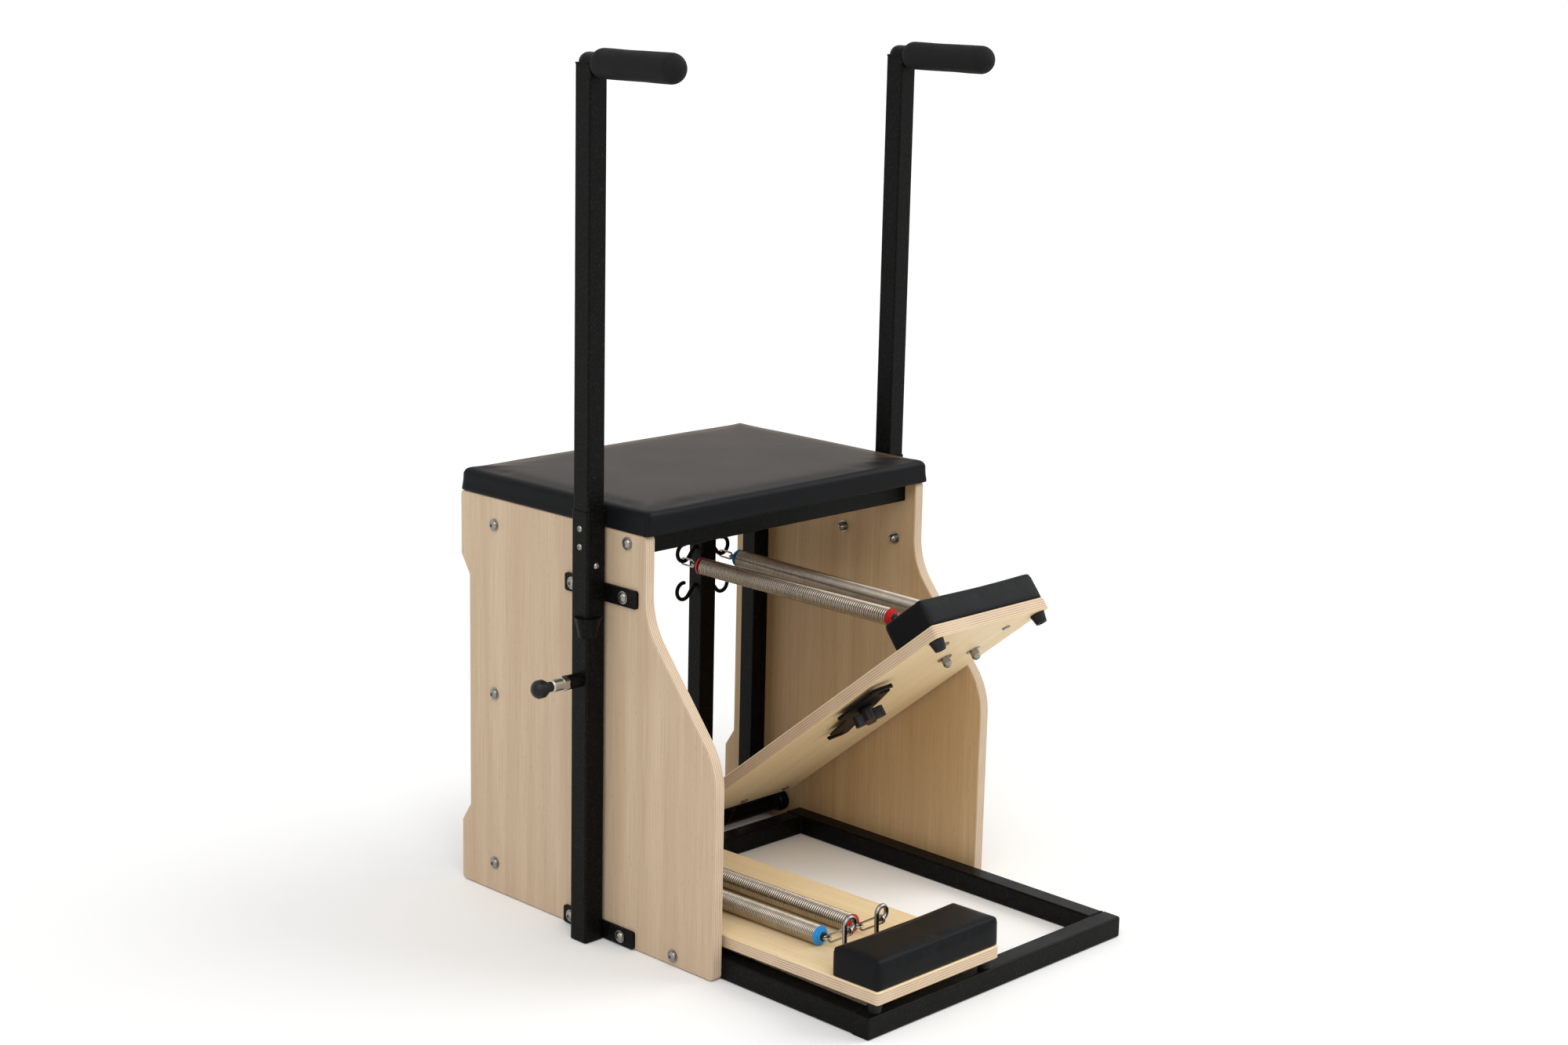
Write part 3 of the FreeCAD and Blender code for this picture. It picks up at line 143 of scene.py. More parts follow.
# Weld beads: overlapping ripples laid along the tubes' joints before the coat was sprayed.
# Each row is a line of flattened drops, 2.4 mm apart.
def settle(piece):
    """Turn a piece with modifiers into a plain mesh."""
    graph = bpy.context.evaluated_depsgraph_get()
    mesh = bpy.data.meshes.new_from_object(piece.evaluated_get(graph))
    piece.modifiers.clear()
    piece.data = mesh
    return piece


def host(name, points=(), edges=(), faces=()):
    """A new object at the origin with the given mesh."""
    mesh = bpy.data.meshes.new(name)
    mesh.from_pydata([tuple(p) for p in points], list(edges), list(faces))
    piece = bpy.data.objects.new(name, mesh)
    bpy.context.scene.collection.objects.link(piece)
    return piece


def add_inputs(group, kinds):
    """Give a node group its named inputs; returns each one's identifier by its label."""
    return {label: group.interface.new_socket(label, in_out="INPUT",
                                              socket_type="NodeSocket" + kind).identifier
            for label, kind in kinds}


def row_tree(name):
    """Geometry nodes that set drops along a host's lines: pitch, three radii and their spread."""
    group = bpy.data.node_groups.new(name, "GeometryNodeTree")
    sockets = add_inputs(group, (("Lines", "Geometry"), ("Pitch", "Float"), ("Spread", "Float"),
                                 ("Radii", "Vector"), ("Finish", "Material")))
    group.interface.new_socket("Row", in_out="OUTPUT", socket_type="NodeSocketGeometry")
    given = add(group, "NodeGroupInput")
    curve = add(group, "GeometryNodeMeshToCurve", {"Mesh": given.outputs["Lines"]})
    points = add(group, "GeometryNodeCurveToPoints", {
        "Curve": curve.outputs[0], "Length": given.outputs["Pitch"]}, mode="LENGTH")
    drop = add(group, "GeometryNodeMeshUVSphere", {"Radius": 1.0, "Segments": 8, "Rings": 5})
    shaped = add(group, "GeometryNodeTransform", {
        "Geometry": drop.outputs[0], "Scale": given.outputs["Radii"]})
    low = add(group, "ShaderNodeMath", {0: 1.0, 1: given.outputs["Spread"]}, operation="SUBTRACT")
    high = add(group, "ShaderNodeMath", {0: 1.0, 1: given.outputs["Spread"]}, operation="ADD")
    vary = add(group, "FunctionNodeRandomValue", {
        "Min": low.outputs[0], "Max": high.outputs[0], "Seed": 7}, data_type="FLOAT_VECTOR")
    laid = add(group, "GeometryNodeInstanceOnPoints", {
        "Points": points.outputs["Points"], "Instance": shaped.outputs[0],
        "Rotation": points.outputs["Rotation"], "Scale": vary.outputs[0]})
    real = add(group, "GeometryNodeRealizeInstances", {"Geometry": laid.outputs[0]})
    smooth = add(group, "GeometryNodeSetShadeSmooth", {"Geometry": real.outputs[0]})
    dressed = add(group, "GeometryNodeSetMaterial", {
        "Geometry": smooth.outputs[0], "Material": given.outputs["Finish"]})
    add(group, "NodeGroupOutput", {"Row": dressed.outputs[0]})
    return group, sockets


def drops_along(name, lines, pitch, radii, spread, finish):
    """A plain mesh of drops along straight lines, each line a list of points."""
    points, edges = [], []
    for line in lines:
        edges += [(len(points) + k, len(points) + k + 1) for k in range(len(line) - 1)]
        points += line
    piece = host(name, points, edges)
    modifier = piece.modifiers.new("row", "NODES")
    modifier.node_group = drop_row
    values = {"Pitch": pitch, "Radii": radii, "Spread": spread, "Finish": finish}
    for label, value in values.items():
        modifier[drop_row_sockets[label]] = value
    return settle(piece)


drop_row, drop_row_sockets = row_tree("drop_row")
HALF_TUBE = 0.015
BEAD_PITCH, BEAD_SPREAD = 0.0024, 0.14
# Heights of level beads: on the rails' front ends, the cross bar's and the rear bottom bar's ends,
# under the rear top bar, and round the spring posts' two ends.
FRONT_TOP, CROSS_TOP, REAR_TOP, HEAD_UNDER = 0.0292, 0.0296, 0.0300, 0.5570
POST_ENDS = (0.0302, 0.5568)
# Heights between which upright beads run: at the front corners, on the base and on the top bar.
CORNER_RUN, BASE_RUN, HEAD_RUN = (0.004, 0.028), (0.004, 0.027), (0.560, 0.585)
# The bead across a rail's front end, from the rail's inner face; the room at other beads' ends.
RAIL_RUN = (0.001, 0.027)
END_ROOM = 0.002
CORNER_SINK = 0.0004
bottom_lo, bottom_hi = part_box("rear_bottom_bar")
front_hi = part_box("base_front_bar")[1]
cross_lo, cross_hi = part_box("base_cross_bar")
posts_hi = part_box("spring_posts")[1]
post_mid = (bottom_lo.y + bottom_hi.y) / 2
post_x = posts_hi.x - HALF_TUBE
rail_in = cross_hi.x
bottom_span = (bottom_lo.y + END_ROOM, bottom_hi.y - END_ROOM)
beads = []
for side in (-1, 1):
    beads.append([(side * (rail_in + x), front_hi.y, FRONT_TOP) for x in RAIL_RUN])
    beads.append([(side * (rail_in - CORNER_SINK), front_hi.y + CORNER_SINK, z)
                  for z in CORNER_RUN])
    for y in (cross_lo.y, cross_hi.y):
        beads.append([(side * rail_in, y, z) for z in BASE_RUN])
    beads.append([(side * rail_in, y, CROSS_TOP)
                  for y in (cross_lo.y + END_ROOM, cross_hi.y - END_ROOM)])
    for y in (bottom_lo.y, bottom_hi.y):
        for run in (BASE_RUN, HEAD_RUN):
            beads.append([(side * rail_in, y, z) for z in run])
    for z in (REAR_TOP, HEAD_UNDER):
        beads.append([(side * rail_in, y, z) for y in bottom_span])
    for z in POST_ENDS:
        beads.append([(side * post_x + a * HALF_TUBE, post_mid + b * HALF_TUBE, z)
                      for a, b in ((-1, -1), (1, -1), (1, 1), (-1, 1), (-1, -1))])
weld_beads = drops_along("weld_beads", beads, pitch=BEAD_PITCH, radii=(0.0022, 0.0022, 0.0018),
                         spread=BEAD_SPREAD, finish=powder_coat)
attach(weld_beads, "frame")

# ---------------------------------------------------------------------------
# Side panels: 18 mm plywood, sawn to an S at the front and lacquered. The faces
# are a pale, straight-grained veneer; the sawn edges show the crossed plies as
# thin brown lines.

PLY_THICK = 0.018
PLY_COUNT = 11


def plywood(name, to_board, start, tones, seed):
    """Lacquered plywood. to_board turns the chair's axes to the board's width, grain and depth."""
    material, tree = new_finish(name)
    coords = add(tree, "ShaderNodeTexCoord")
    turn = to_board.to_euler("XYZ")
    board = add(tree, "ShaderNodeMapping", {
        "Vector": coords.outputs["Object"], "Rotation": turn,
        "Location": -(to_board @ Vector(start))}).outputs[0]
    facing = add(tree, "ShaderNodeMapping", {"Vector": coords.outputs["Normal"], "Rotation": turn})
    # Veneer: pores 130 mm long and drawn 1.4 mm wide, coarser than real, so that they still show;
    # growth bands about 30 mm wide; and dark flecks 11 mm long.
    pores = add(tree, "ShaderNodeMapping", {
        "Vector": board, "Location": (seed, 0.0, 0.0), "Scale": (1 / 0.0014, 1 / 0.13, 1 / 0.02)})
    pore = add(tree, "ShaderNodeTexNoise", {
        "Vector": pores.outputs[0], "Scale": 1.0, "Detail": 4.0, "Roughness": 0.6,
        "Distortion": 0.25})
    bands = add(tree, "ShaderNodeMapping", {
        "Vector": board, "Location": (seed * 3, seed, 0.0),
        "Scale": (1 / 0.030, 1 / 0.9, 1 / 0.3)})
    band = add(tree, "ShaderNodeTexNoise", {
        "Vector": bands.outputs[0], "Scale": 1.0, "Detail": 2.0, "Distortion": 0.4})
    specks = add(tree, "ShaderNodeMapping", {
        "Vector": board, "Location": (seed, seed * 2, 0.0),
        "Scale": (1 / 0.0016, 1 / 0.011, 1 / 0.02)})
    speck = add(tree, "ShaderNodeTexNoise", {
        "Vector": specks.outputs[0], "Scale": 1.0, "Detail": 1.0})
    banded = add(tree, "ShaderNodeMapRange", {
        "Value": band.outputs["Fac"], "From Min": 0.32, "From Max": 0.68})
    ground = add(tree, "ShaderNodeMix", {
        BY: banded.outputs[0], FROM: linear(tones["light"]), TO: linear(tones["band"])},
        data_type="RGBA")
    streak = add(tree, "ShaderNodeMapRange", {
        "Value": pore.outputs["Fac"], "From Min": 0.42, "From Max": 0.72, "To Max": 0.55})
    grained = add(tree, "ShaderNodeMix", {
        BY: streak.outputs[0], FROM: ground.outputs[MIXED], TO: linear(tones["pore"])},
        data_type="RGBA")
    fleck = add(tree, "ShaderNodeMapRange", {
        "Value": speck.outputs["Fac"], "From Min": 0.66, "From Max": 0.78, "To Max": 0.45})
    veneer = add(tree, "ShaderNodeMix", {
        BY: fleck.outputs[0], FROM: grained.outputs[MIXED], TO: linear(tones["fleck"])},
        data_type="RGBA")
    # Sawn edge: every other ply shows its dark end grain, which fades in and out along the edge.
    depth = add(tree, "ShaderNodeSeparateXYZ", {"Vector": board})
    layer = add(tree, "ShaderNodeMath", {0: depth.outputs[2], 1: PLY_COUNT / PLY_THICK},
                operation="MULTIPLY")
    waver = add(tree, "ShaderNodeTexNoise", {"Vector": board, "Scale": 1 / 0.02, "Detail": 2.0})
    wavered = add(tree, "ShaderNodeMath", {
        0: waver.outputs["Fac"], 1: 0.35, 2: layer.outputs[0]}, operation="MULTIPLY_ADD")
    cycle = add(tree, "ShaderNodeMath", {0: wavered.outputs[0], 1: 1.0}, operation="PINGPONG")
    line = add(tree, "ShaderNodeMapRange", {
        "Value": cycle.outputs[0], "From Min": 0.60, "From Max": 0.88},
        interpolation_type="SMOOTHSTEP")
    patch = add(tree, "ShaderNodeTexNoise", {"Vector": board, "Scale": 1 / 0.035, "Detail": 3.0})
    strength = add(tree, "ShaderNodeMapRange", {
        "Value": patch.outputs["Fac"], **NOISE_SPAN, "To Min": 0.45, "To Max": 1.0})
    lines = add(tree, "ShaderNodeMath", {0: line.outputs[0], 1: strength.outputs[0]},
                operation="MULTIPLY")
    fibre = add(tree, "ShaderNodeTexNoise", {"Vector": board, "Scale": 1 / 0.0009, "Detail": 2.0})
    sawn = add(tree, "ShaderNodeMix", {
        BY: fibre.outputs["Fac"], FROM: linear(tones["edge"]), TO: linear(tones["edge_dark"])},
        data_type="RGBA")
    plies = add(tree, "ShaderNodeMix", {
        BY: lines.outputs[0], FROM: sawn.outputs[MIXED], TO: linear(tones["line"])},
        data_type="RGBA")
    across = add(tree, "ShaderNodeSeparateXYZ", {"Vector": facing.outputs[0]})
    upright = add(tree, "ShaderNodeMath", {0: across.outputs[2]}, operation="ABSOLUTE")
    is_edge = add(tree, "ShaderNodeMath", {0: upright.outputs[0], 1: 0.6}, operation="LESS_THAN")
    surface = add(tree, "ShaderNodeMix", {
        BY: is_edge.outputs[0], FROM: veneer.outputs[MIXED], TO: plies.outputs[MIXED]},
        data_type="RGBA")
    # Thin satin lacquer over closed pores; the sawn edges are drier.
    satin = add(tree, "ShaderNodeMapRange", {
        "Value": pore.outputs["Fac"], **NOISE_SPAN, "To Min": 0.40, "To Max": 0.50})
    dry = add(tree, "ShaderNodeMath", {0: is_edge.outputs[0], 1: 0.22, 2: satin.outputs[0]},
              operation="MULTIPLY_ADD")
    relief = add(tree, "ShaderNodeBump", {
        "Height": pore.outputs["Fac"], "Strength": 0.10, "Distance": 0.0003})
    shader = add(tree, "ShaderNodeBsdfPrincipled", {
        "Base Color": surface.outputs[MIXED], "Roughness": dry.outputs[0],
        "Normal": relief.outputs[0], "IOR": 1.5, "Specular IOR Level": 0.35})
    add(tree, "ShaderNodeOutputMaterial", {"Surface": shader.outputs[0]})
    return material


panel_axes = Matrix(((0, 1, 0), (0, 0, 1), (1, 0, 0)))
panel_tones = {"light": "#CAB498", "band": "#BEA68A", "pore": "#AA9072", "fleck": "#8A6C4A",
               "edge": "#DCC8B0", "edge_dark": "#CBB397", "line": "#9C7C62"}
# The far panel's warmer, browner tones are painted shade and warm bounce light, on both its faces.
shaded_far_tones = dict(panel_tones, light="#CFB288", band="#C2A278", pore="#AC8A60")
for side, start, tones, seed in (("left", -0.278, panel_tones, 3.7),
                                 ("right", 0.260, shaded_far_tones, 8.2)):
    panel_ply = plywood("birch_plywood_side_" + side, panel_axes, (start, 0.0, 0.0), tones, seed)
    coat(panel_ply, "side_panel_" + side)

# ---------------------------------------------------------------------------
# Fasteners: stainless button-head socket bolts with washers through the sides
# and brackets, domed nuts inside, and three small screws that steady each handle.
# Turned and tumbled stainless: bright, with faint turning marks.

bright_steel, tree = new_finish("tumbled_stainless_steel")
place = add(tree, "ShaderNodeTexCoord").outputs["Object"]
marks = add(tree, "ShaderNodeTexNoise", {"Vector": place, "Scale": 1 / 0.0012, "Detail": 3.0})
haze = add(tree, "ShaderNodeTexNoise", {"Vector": place, "Scale": 1 / 0.012, "Detail": 2.0})
tone = add(tree, "ShaderNodeMix", {
    BY: haze.outputs["Fac"], FROM: linear("#A5A29C"), TO: linear("#7C7973")}, data_type="RGBA")
gloss = add(tree, "ShaderNodeMapRange", {
    "Value": marks.outputs["Fac"], **NOISE_SPAN, "To Min": 0.16, "To Max": 0.30})
fine = add(tree, "ShaderNodeBump", {
    "Height": marks.outputs["Fac"], "Strength": 0.06, "Distance": 0.0002})
shader = add(tree, "ShaderNodeBsdfPrincipled", {
    "Base Color": tone.outputs[MIXED], "Metallic": 1.0, "Roughness": gloss.outputs[0],
    "Normal": fine.outputs[0]})
add(tree, "ShaderNodeOutputMaterial", {"Surface": shader.outputs[0]})
coat(bright_steel, "panel_bolts", "glide_screws", "pedal_fittings_left", "pedal_fittings_right")

# ---------------------------------------------------------------------------
# Seat: a plywood board and a slab of foam under black vinyl that is boxed at
# the corners with a sewn upright seam, pulled down and stapled underneath.

board_ply = plywood("plywood_seat_board", Matrix.Identity(3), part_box("seat_board")[0],
                    panel_tones, 5.1)
coat(board_ply, "seat_board")

# Upholstery vinyl: soft PVC on cloth, embossed with a leather grain. The grain is 1.8 mm here and
# about 0.8 mm on the chair, so that it still shows. Its creases are painted darker, as painted
# shade, and a warm sheen at low angles is a painted reflection of warm surroundings.
vinyl, tree = new_finish("embossed_black_vinyl")
place = add(tree, "ShaderNodeTexCoord").outputs["Object"]
warp = add(tree, "ShaderNodeTexNoise", {"Vector": place, "Scale": 1 / 0.006, "Detail": 2.0})
bent = add(tree, "ShaderNodeMix", {BY: 0.002, FROM: place, TO: warp.outputs["Color"]},
           data_type="RGBA")
grain = add(tree, "ShaderNodeTexVoronoi", {"Vector": bent.outputs[MIXED], "Scale": 1 / 0.0018},
            feature="DISTANCE_TO_EDGE")
wrinkle = add(tree, "ShaderNodeMapRange", {"Value": grain.outputs["Distance"], "From Max": 0.12})
patches = add(tree, "ShaderNodeTexNoise", {"Vector": place, "Scale": 1 / 0.09, "Detail": 3.0})
gloss = add(tree, "ShaderNodeMapRange", {
    "Value": patches.outputs["Fac"], **NOISE_SPAN, "To Min": 0.40, "To Max": 0.43})
# Painted shade: the grain's creases, sunk by the bump below, are painted darker than its tops.
tone = add(tree, "ShaderNodeMix", {
    BY: wrinkle.outputs[0], FROM: linear("#0E0F11"), TO: linear("#141517")}, data_type="RGBA")
emboss = add(tree, "ShaderNodeBump", {
    "Height": wrinkle.outputs[0], "Strength": 0.06, "Distance": 0.0003})
# The warm sheen is a painted reflection of warm surroundings, seen at low angles.
shader = add(tree, "ShaderNodeBsdfPrincipled", {
    "Base Color": tone.outputs[MIXED], "Roughness": gloss.outputs[0], "Normal": emboss.outputs[0],
    "IOR": 1.16, "Sheen Weight": 0.30, "Sheen Roughness": 0.22, "Sheen Tint": linear("#FFCC96")})
add(tree, "ShaderNodeOutputMaterial", {"Surface": shader.outputs[0]})


def rounded_block(size, corner, roll, pitch):
    """Points and quads of a block on its base, rounded at upright corners and along its top."""
    width, depth, height = size
    counts = [max(4, round(length / pitch)) for length in size]
    half = (width / 2, depth / 2)
    index, points, faces = {}, [], []

    def corner_of(i, j, k):
        key = (i, j, k)
        if key not in index:
            raw = (width * (i / counts[0] - 0.5), depth * (j / counts[1] - 0.5),
                   height * k / counts[2])
            over = [max(0.0, abs(raw[0]) - half[0] + corner) / corner,
                    max(0.0, abs(raw[1]) - half[1] + corner) / corner,
                    max(0.0, raw[2] - height + roll) / roll]
            a, b, c = (value * value for value in over)
            spread = (over[0] * math.sqrt(max(0.0, 1 - b / 2 - c / 2 + b * c / 3)),
                      over[1] * math.sqrt(max(0.0, 1 - a / 2 - c / 2 + a * c / 3)),
                      over[2] * math.sqrt(max(0.0, 1 - a / 2 - b / 2 + a * b / 3)))
            spot = [math.copysign(half[n] - corner + corner * spread[n], raw[n])
                    if over[n] > 0 else raw[n] for n in (0, 1)]
            spot.append(height - roll + roll * spread[2] if over[2] > 0 else raw[2])
            index[key] = len(points)
            points.append(Vector(spot))
        return index[key]

    for axis in range(3):
        u, v = [n for n in range(3) if n != axis]
        for level in (0, counts[axis]):
            for p in range(counts[u]):
                for q in range(counts[v]):
                    ring = []
                    for dp, dq in ((0, 0), (1, 0), (1, 1), (0, 1)):
                        key = [0, 0, 0]
                        key[axis], key[u], key[v] = level, p + dp, q + dq
                        ring.append(corner_of(*key))
                    faces.append(ring)
    return points, faces


CLOTH_FRAMES = 20
RIPPLE_SCALE = 1 / 0.045


def stuffed(name, size, corner, roll, pitch, limit, ripple):
    """A pad on its flat base: vinyl blown up by foam in a cloth simulation, stapled at the base."""
    points, faces = rounded_block(size, corner, roll, pitch)
    pad = host(name, points, [], faces)
    work = bmesh.new()
    work.from_mesh(pad.data)
    bmesh.ops.recalc_face_normals(work, faces=work.faces)
    work.to_mesh(pad.data)
    work.free()
    stapled = pad.vertex_groups.new(name="stapled")
    stapled.add([k for k, p in enumerate(points) if p.z < 1e-6], 1.0, "REPLACE")
    cloth = pad.modifiers.new("stuffing", "CLOTH")
    cloth.settings.quality = 6
    cloth.settings.mass = 0.3
    cloth.settings.tension_stiffness = 30
    cloth.settings.compression_stiffness = 30
    cloth.settings.shear_stiffness = 15
    cloth.settings.bending_stiffness = 3
    cloth.settings.vertex_group_mass = "stapled"
    cloth.settings.use_pressure = True
    cloth.settings.uniform_pressure_force = 4
    cloth.settings.effector_weights.gravity = 0
    cloth.collision_settings.use_collision = False
    cloth.point_cache.frame_start = 1
    cloth.point_cache.frame_end = CLOTH_FRAMES
    for moment in range(1, CLOTH_FRAMES + 1):
        bpy.context.scene.frame_set(moment)
    blown = pad.evaluated_get(bpy.context.evaluated_depsgraph_get()).data
    moved = [v.co.copy() for v in blown.vertices]
    pad.modifiers.clear()
    pad.vertex_groups.clear()
    bpy.context.scene.frame_set(1)
    # The swelling dies away towards its limit; an uneven ripple pushes out from the foam's middle.
    middle = Vector((0, 0, size[2] * 0.4))
    for vertex, rest, after in zip(pad.data.vertices, points, moved):
        shift = after - rest
        if shift.length > 0:
            shift *= limit * math.tanh(shift.length / limit) / shift.length
        lift = min(1.0, rest.z / (0.3 * size[2]))
        uneven = noise.noise(rest * RIPPLE_SCALE) * ripple * lift
        vertex.co = rest + shift + (rest - middle).normalized() * uneven
    pad.modifiers.new("smooth", "SUBSURF").levels = 1
    pad.modifiers["smooth"].render_levels = 1
    settle(pad)
    pad.data.materials.append(vinyl)
    pad.data.polygons.foreach_set("use_smooth", [True] * len(pad.data.polygons))
    return pad


SEAM_STEPS = 14
SEAM_FOOT_SHARE = 0.04
SEAM_INSET, SEAM_REACH, SEAM_SINK = 0.03, 0.08, 0.0001


def corner_seams(pad, size, top_share):
    """Lines up a pad's corners, where its sides are sewn together: each the run of a folded lip."""
    surface = BVHTree.FromObject(pad, bpy.context.evaluated_depsgraph_get())
    lips = []
    for sx in (-1, 1):
        for sy in (-1, 1):
            inner = Vector((sx * (size[0] / 2 - SEAM_INSET), sy * (size[1] / 2 - SEAM_INSET), 0))
            out = Vector((sx, sy, 0)).normalized()
            lip = []
            for step in range(SEAM_STEPS + 1):
                z = size[2] * (SEAM_FOOT_SHARE + top_share * step / SEAM_STEPS)
                hit = surface.ray_cast(inner + out * SEAM_REACH + Vector((0, 0, z)), -out)[0]
                lip.append(hit - out * SEAM_SINK)
            lips.append(lip)
    return lips


LIP_PITCH = 0.0008
# What the cushion leaves of the solid pad's width, depth and height for its swelling.
SEAT_ROOM = (0.002, 0.002, 0.0025)
SEAT_LIFT = 0.0003
seat_lo, seat_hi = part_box("seat_pad")
seat_size = tuple(high - low - room for low, high, room in zip(seat_lo, seat_hi, SEAT_ROOM))
seat_place = Matrix.Translation(((seat_lo.x + seat_hi.x) / 2, (seat_lo.y + seat_hi.y) / 2,
                                 seat_lo.z + SEAT_LIFT))
seat = stuffed("seat_cushion", seat_size, corner=0.006, roll=0.0110, pitch=0.006, limit=0.0026,
               ripple=0.0)
seat_lips = corner_seams(seat, seat_size, top_share=0.72)
seat.data.transform(seat_place)
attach(seat, "frame")
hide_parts("seat_pad")

seam_lips = drops_along("seat_seam_lips", [[seat_place @ p for p in line] for line in seat_lips],
                        pitch=LIP_PITCH, radii=(0.0009, 0.0009, 0.0012), spread=0.0, finish=vinyl)
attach(seam_lips, "frame")

# ---------------------------------------------------------------------------
# Handles: a square receiver tube bolted outside each panel, and a square post
# that slides in it with a round bar welded across its top. Same powder coat.

GRIP_GAP = 0.0003
# The bar's weld runs along both its sides, this far out, this long each way and this far down.
SADDLE_OUT, SADDLE_HALF, SADDLE_DROP = 0.0146, 0.013, 0.0005
coat(powder_coat, "receiver_left", "receiver_right", "handle_post_left", "handle_post_right")
for side in ("left", "right"):
    bar_lo, bar_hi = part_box("handle_post_" + side)
    grip_lo, grip_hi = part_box("grip_" + side)
    centre_x = (bar_lo.x + bar_hi.x) / 2
    axis_z = (grip_lo.z + grip_hi.z) / 2
    post_y = grip_hi.y + GRIP_GAP + HALF_TUBE
    saddle = [[(centre_x + s * SADDLE_OUT, post_y + end * SADDLE_HALF, axis_z - SADDLE_DROP)
               for end in (-1, 1)] for s in (-1, 1)]
    bead = drops_along("handle_weld_" + side, saddle, pitch=BEAD_PITCH,
                       radii=(0.0016, 0.0016, 0.0015), spread=BEAD_SPREAD, finish=powder_coat)
    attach(bead, "handle_" + side)

# Grips: moulded tubes of closed-cell foam rubber pushed over the bars, with a
# round nose and a softly rolled rear end. Matt, with a finely pitted skin, whose
# pits are drawn 1.4 mm apart, coarser than real, so that they still show.
foam, tree = new_finish("closed_cell_foam_rubber")
place = add(tree, "ShaderNodeTexCoord").outputs["Object"]
cells = add(tree, "ShaderNodeTexVoronoi", {"Vector": place, "Scale": 1 / 0.0014})
scuff = add(tree, "ShaderNodeTexNoise", {"Vector": place, "Scale": 1 / 0.02, "Detail": 4.0})
tone = add(tree, "ShaderNodeMix", {
    BY: scuff.outputs["Fac"], FROM: linear("#0F0F0F"), TO: linear("#191919")}, data_type="RGBA")
pits = add(tree, "ShaderNodeBump", {
    "Height": cells.outputs["Distance"], "Strength": 0.22, "Distance": 0.0003})
gloss = add(tree, "ShaderNodeMapRange", {
    "Value": scuff.outputs["Fac"], **NOISE_SPAN, "To Min": 0.66, "To Max": 0.80})
shader = add(tree, "ShaderNodeBsdfPrincipled", {
    "Base Color": tone.outputs[MIXED], "Roughness": gloss.outputs[0], "Normal": pits.outputs[0],
    "IOR": 1.25})
add(tree, "ShaderNodeOutputMaterial", {"Surface": shader.outputs[0]})


def turned(outline, closed, steps, merge):
    """A bmesh of an outline (radius, height) spun about Z, with its doubled points merged."""
    shape = bmesh.new()
    line = [shape.verts.new((r, 0, h)) for r, h in outline]
    edges = [shape.edges.new(pair) for pair in zip(line, line[1:] + (line[:1] if closed else []))]
    bmesh.ops.spin(shape, geom=line + edges, axis=(0, 0, 1), cent=(0, 0, 0), angle=math.tau,
                   steps=steps, use_merge=True)
    bmesh.ops.remove_doubles(shape, verts=shape.verts, dist=merge)
    return shape


def smooth_piece(name, shape, place, finish):
    """An object from a bmesh: faced outwards, moved to its place, smooth and with its finish."""
    bmesh.ops.recalc_face_normals(shape, faces=shape.faces)
    shape.transform(place)
    for face in shape.faces:
        face.smooth = True
    piece = host(name)
    shape.to_mesh(piece.data)
    shape.free()
    piece.data.materials.append(finish)
    return piece


GRIP_BORE, BORE_DEPTH, BORE_MOUTH = 0.0143, 0.055, 0.0004
# The rear end's roll, across and along; the grip's faint waist; its hand-worn dents.
ROLL_ACROSS, ROLL_ALONG = 0.0052, 0.011
WAIST = 0.00035
DENT, DENT_SCALE = 0.00025, 1 / 0.03
ROLL_STEPS, BODY_STEPS, NOSE_STEPS = 8, 16, 12
for side in ("left", "right"):
    lo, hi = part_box("grip_" + side)
    radius = (hi.z - lo.z) / 2
    length = hi.y - lo.y
    profile = [(GRIP_BORE, BORE_DEPTH), (GRIP_BORE, BORE_MOUTH)]
    for step in range(ROLL_STEPS + 1):
        turn = math.radians(90 * step / ROLL_STEPS)
        profile.append((radius - ROLL_ACROSS + ROLL_ACROSS * math.sin(turn),
                        ROLL_ALONG - ROLL_ALONG * math.cos(turn)))
    for step in range(1, BODY_STEPS):
        along = ROLL_ALONG + (length - radius - ROLL_ALONG) * step / BODY_STEPS
        profile.append((radius - WAIST * math.sin(math.pi * step / BODY_STEPS) ** 2, along))
    for step in range(NOSE_STEPS + 1):
        turn = math.radians(90 * step / NOSE_STEPS)
        profile.append((max(radius * math.cos(turn), 1e-5),
                        length - radius + radius * math.sin(turn)))
    spin = turned(profile, closed=False, steps=48, merge=2e-5)
    for vertex in spin.verts:
        push = noise.noise(vertex.co * DENT_SCALE) * DENT
        vertex.co += Vector((vertex.co.x, vertex.co.y, 0)).normalized() * push
    grip = smooth_piece("foam_grip_" + side, spin, Matrix.Translation((
        (lo.x + hi.x) / 2, hi.y, (lo.z + hi.z) / 2)) @ Matrix.Rotation(math.pi / 2, 4, "X"), foam)
    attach(grip, "handle_" + side)
    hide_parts("grip_" + side)

# ---------------------------------------------------------------------------
# Pull pins: a zinc-plated threaded barrel with its lock nut, a steel plunger
# with a coil spring inside, and a moulded black knob.

# Zinc plate, also on the pedals' axle: grey-white and half bright, clouded in 6 mm patches.
zinc, tree = new_finish("zinc_plated_steel")
place = add(tree, "ShaderNodeTexCoord").outputs["Object"]
spangle = add(tree, "ShaderNodeTexNoise", {"Vector": place, "Scale": 1 / 0.006, "Detail": 4.0})
tone = add(tree, "ShaderNodeMix", {
    BY: spangle.outputs["Fac"], FROM: linear("#C8C6BF"), TO: linear("#A39F93")}, data_type="RGBA")
gloss = add(tree, "ShaderNodeMapRange", {
    "Value": spangle.outputs["Fac"], **NOISE_SPAN, "To Min": 0.24, "To Max": 0.38})
shader = add(tree, "ShaderNodeBsdfPrincipled", {
    "Base Color": tone.outputs[MIXED], "Metallic": 1.0, "Roughness": gloss.outputs[0]})
add(tree, "ShaderNodeOutputMaterial", {"Surface": shader.outputs[0]})
coat(zinc, "pin_barrels", "pin_plunger_left", "pin_plunger_right", "pivot_axle")

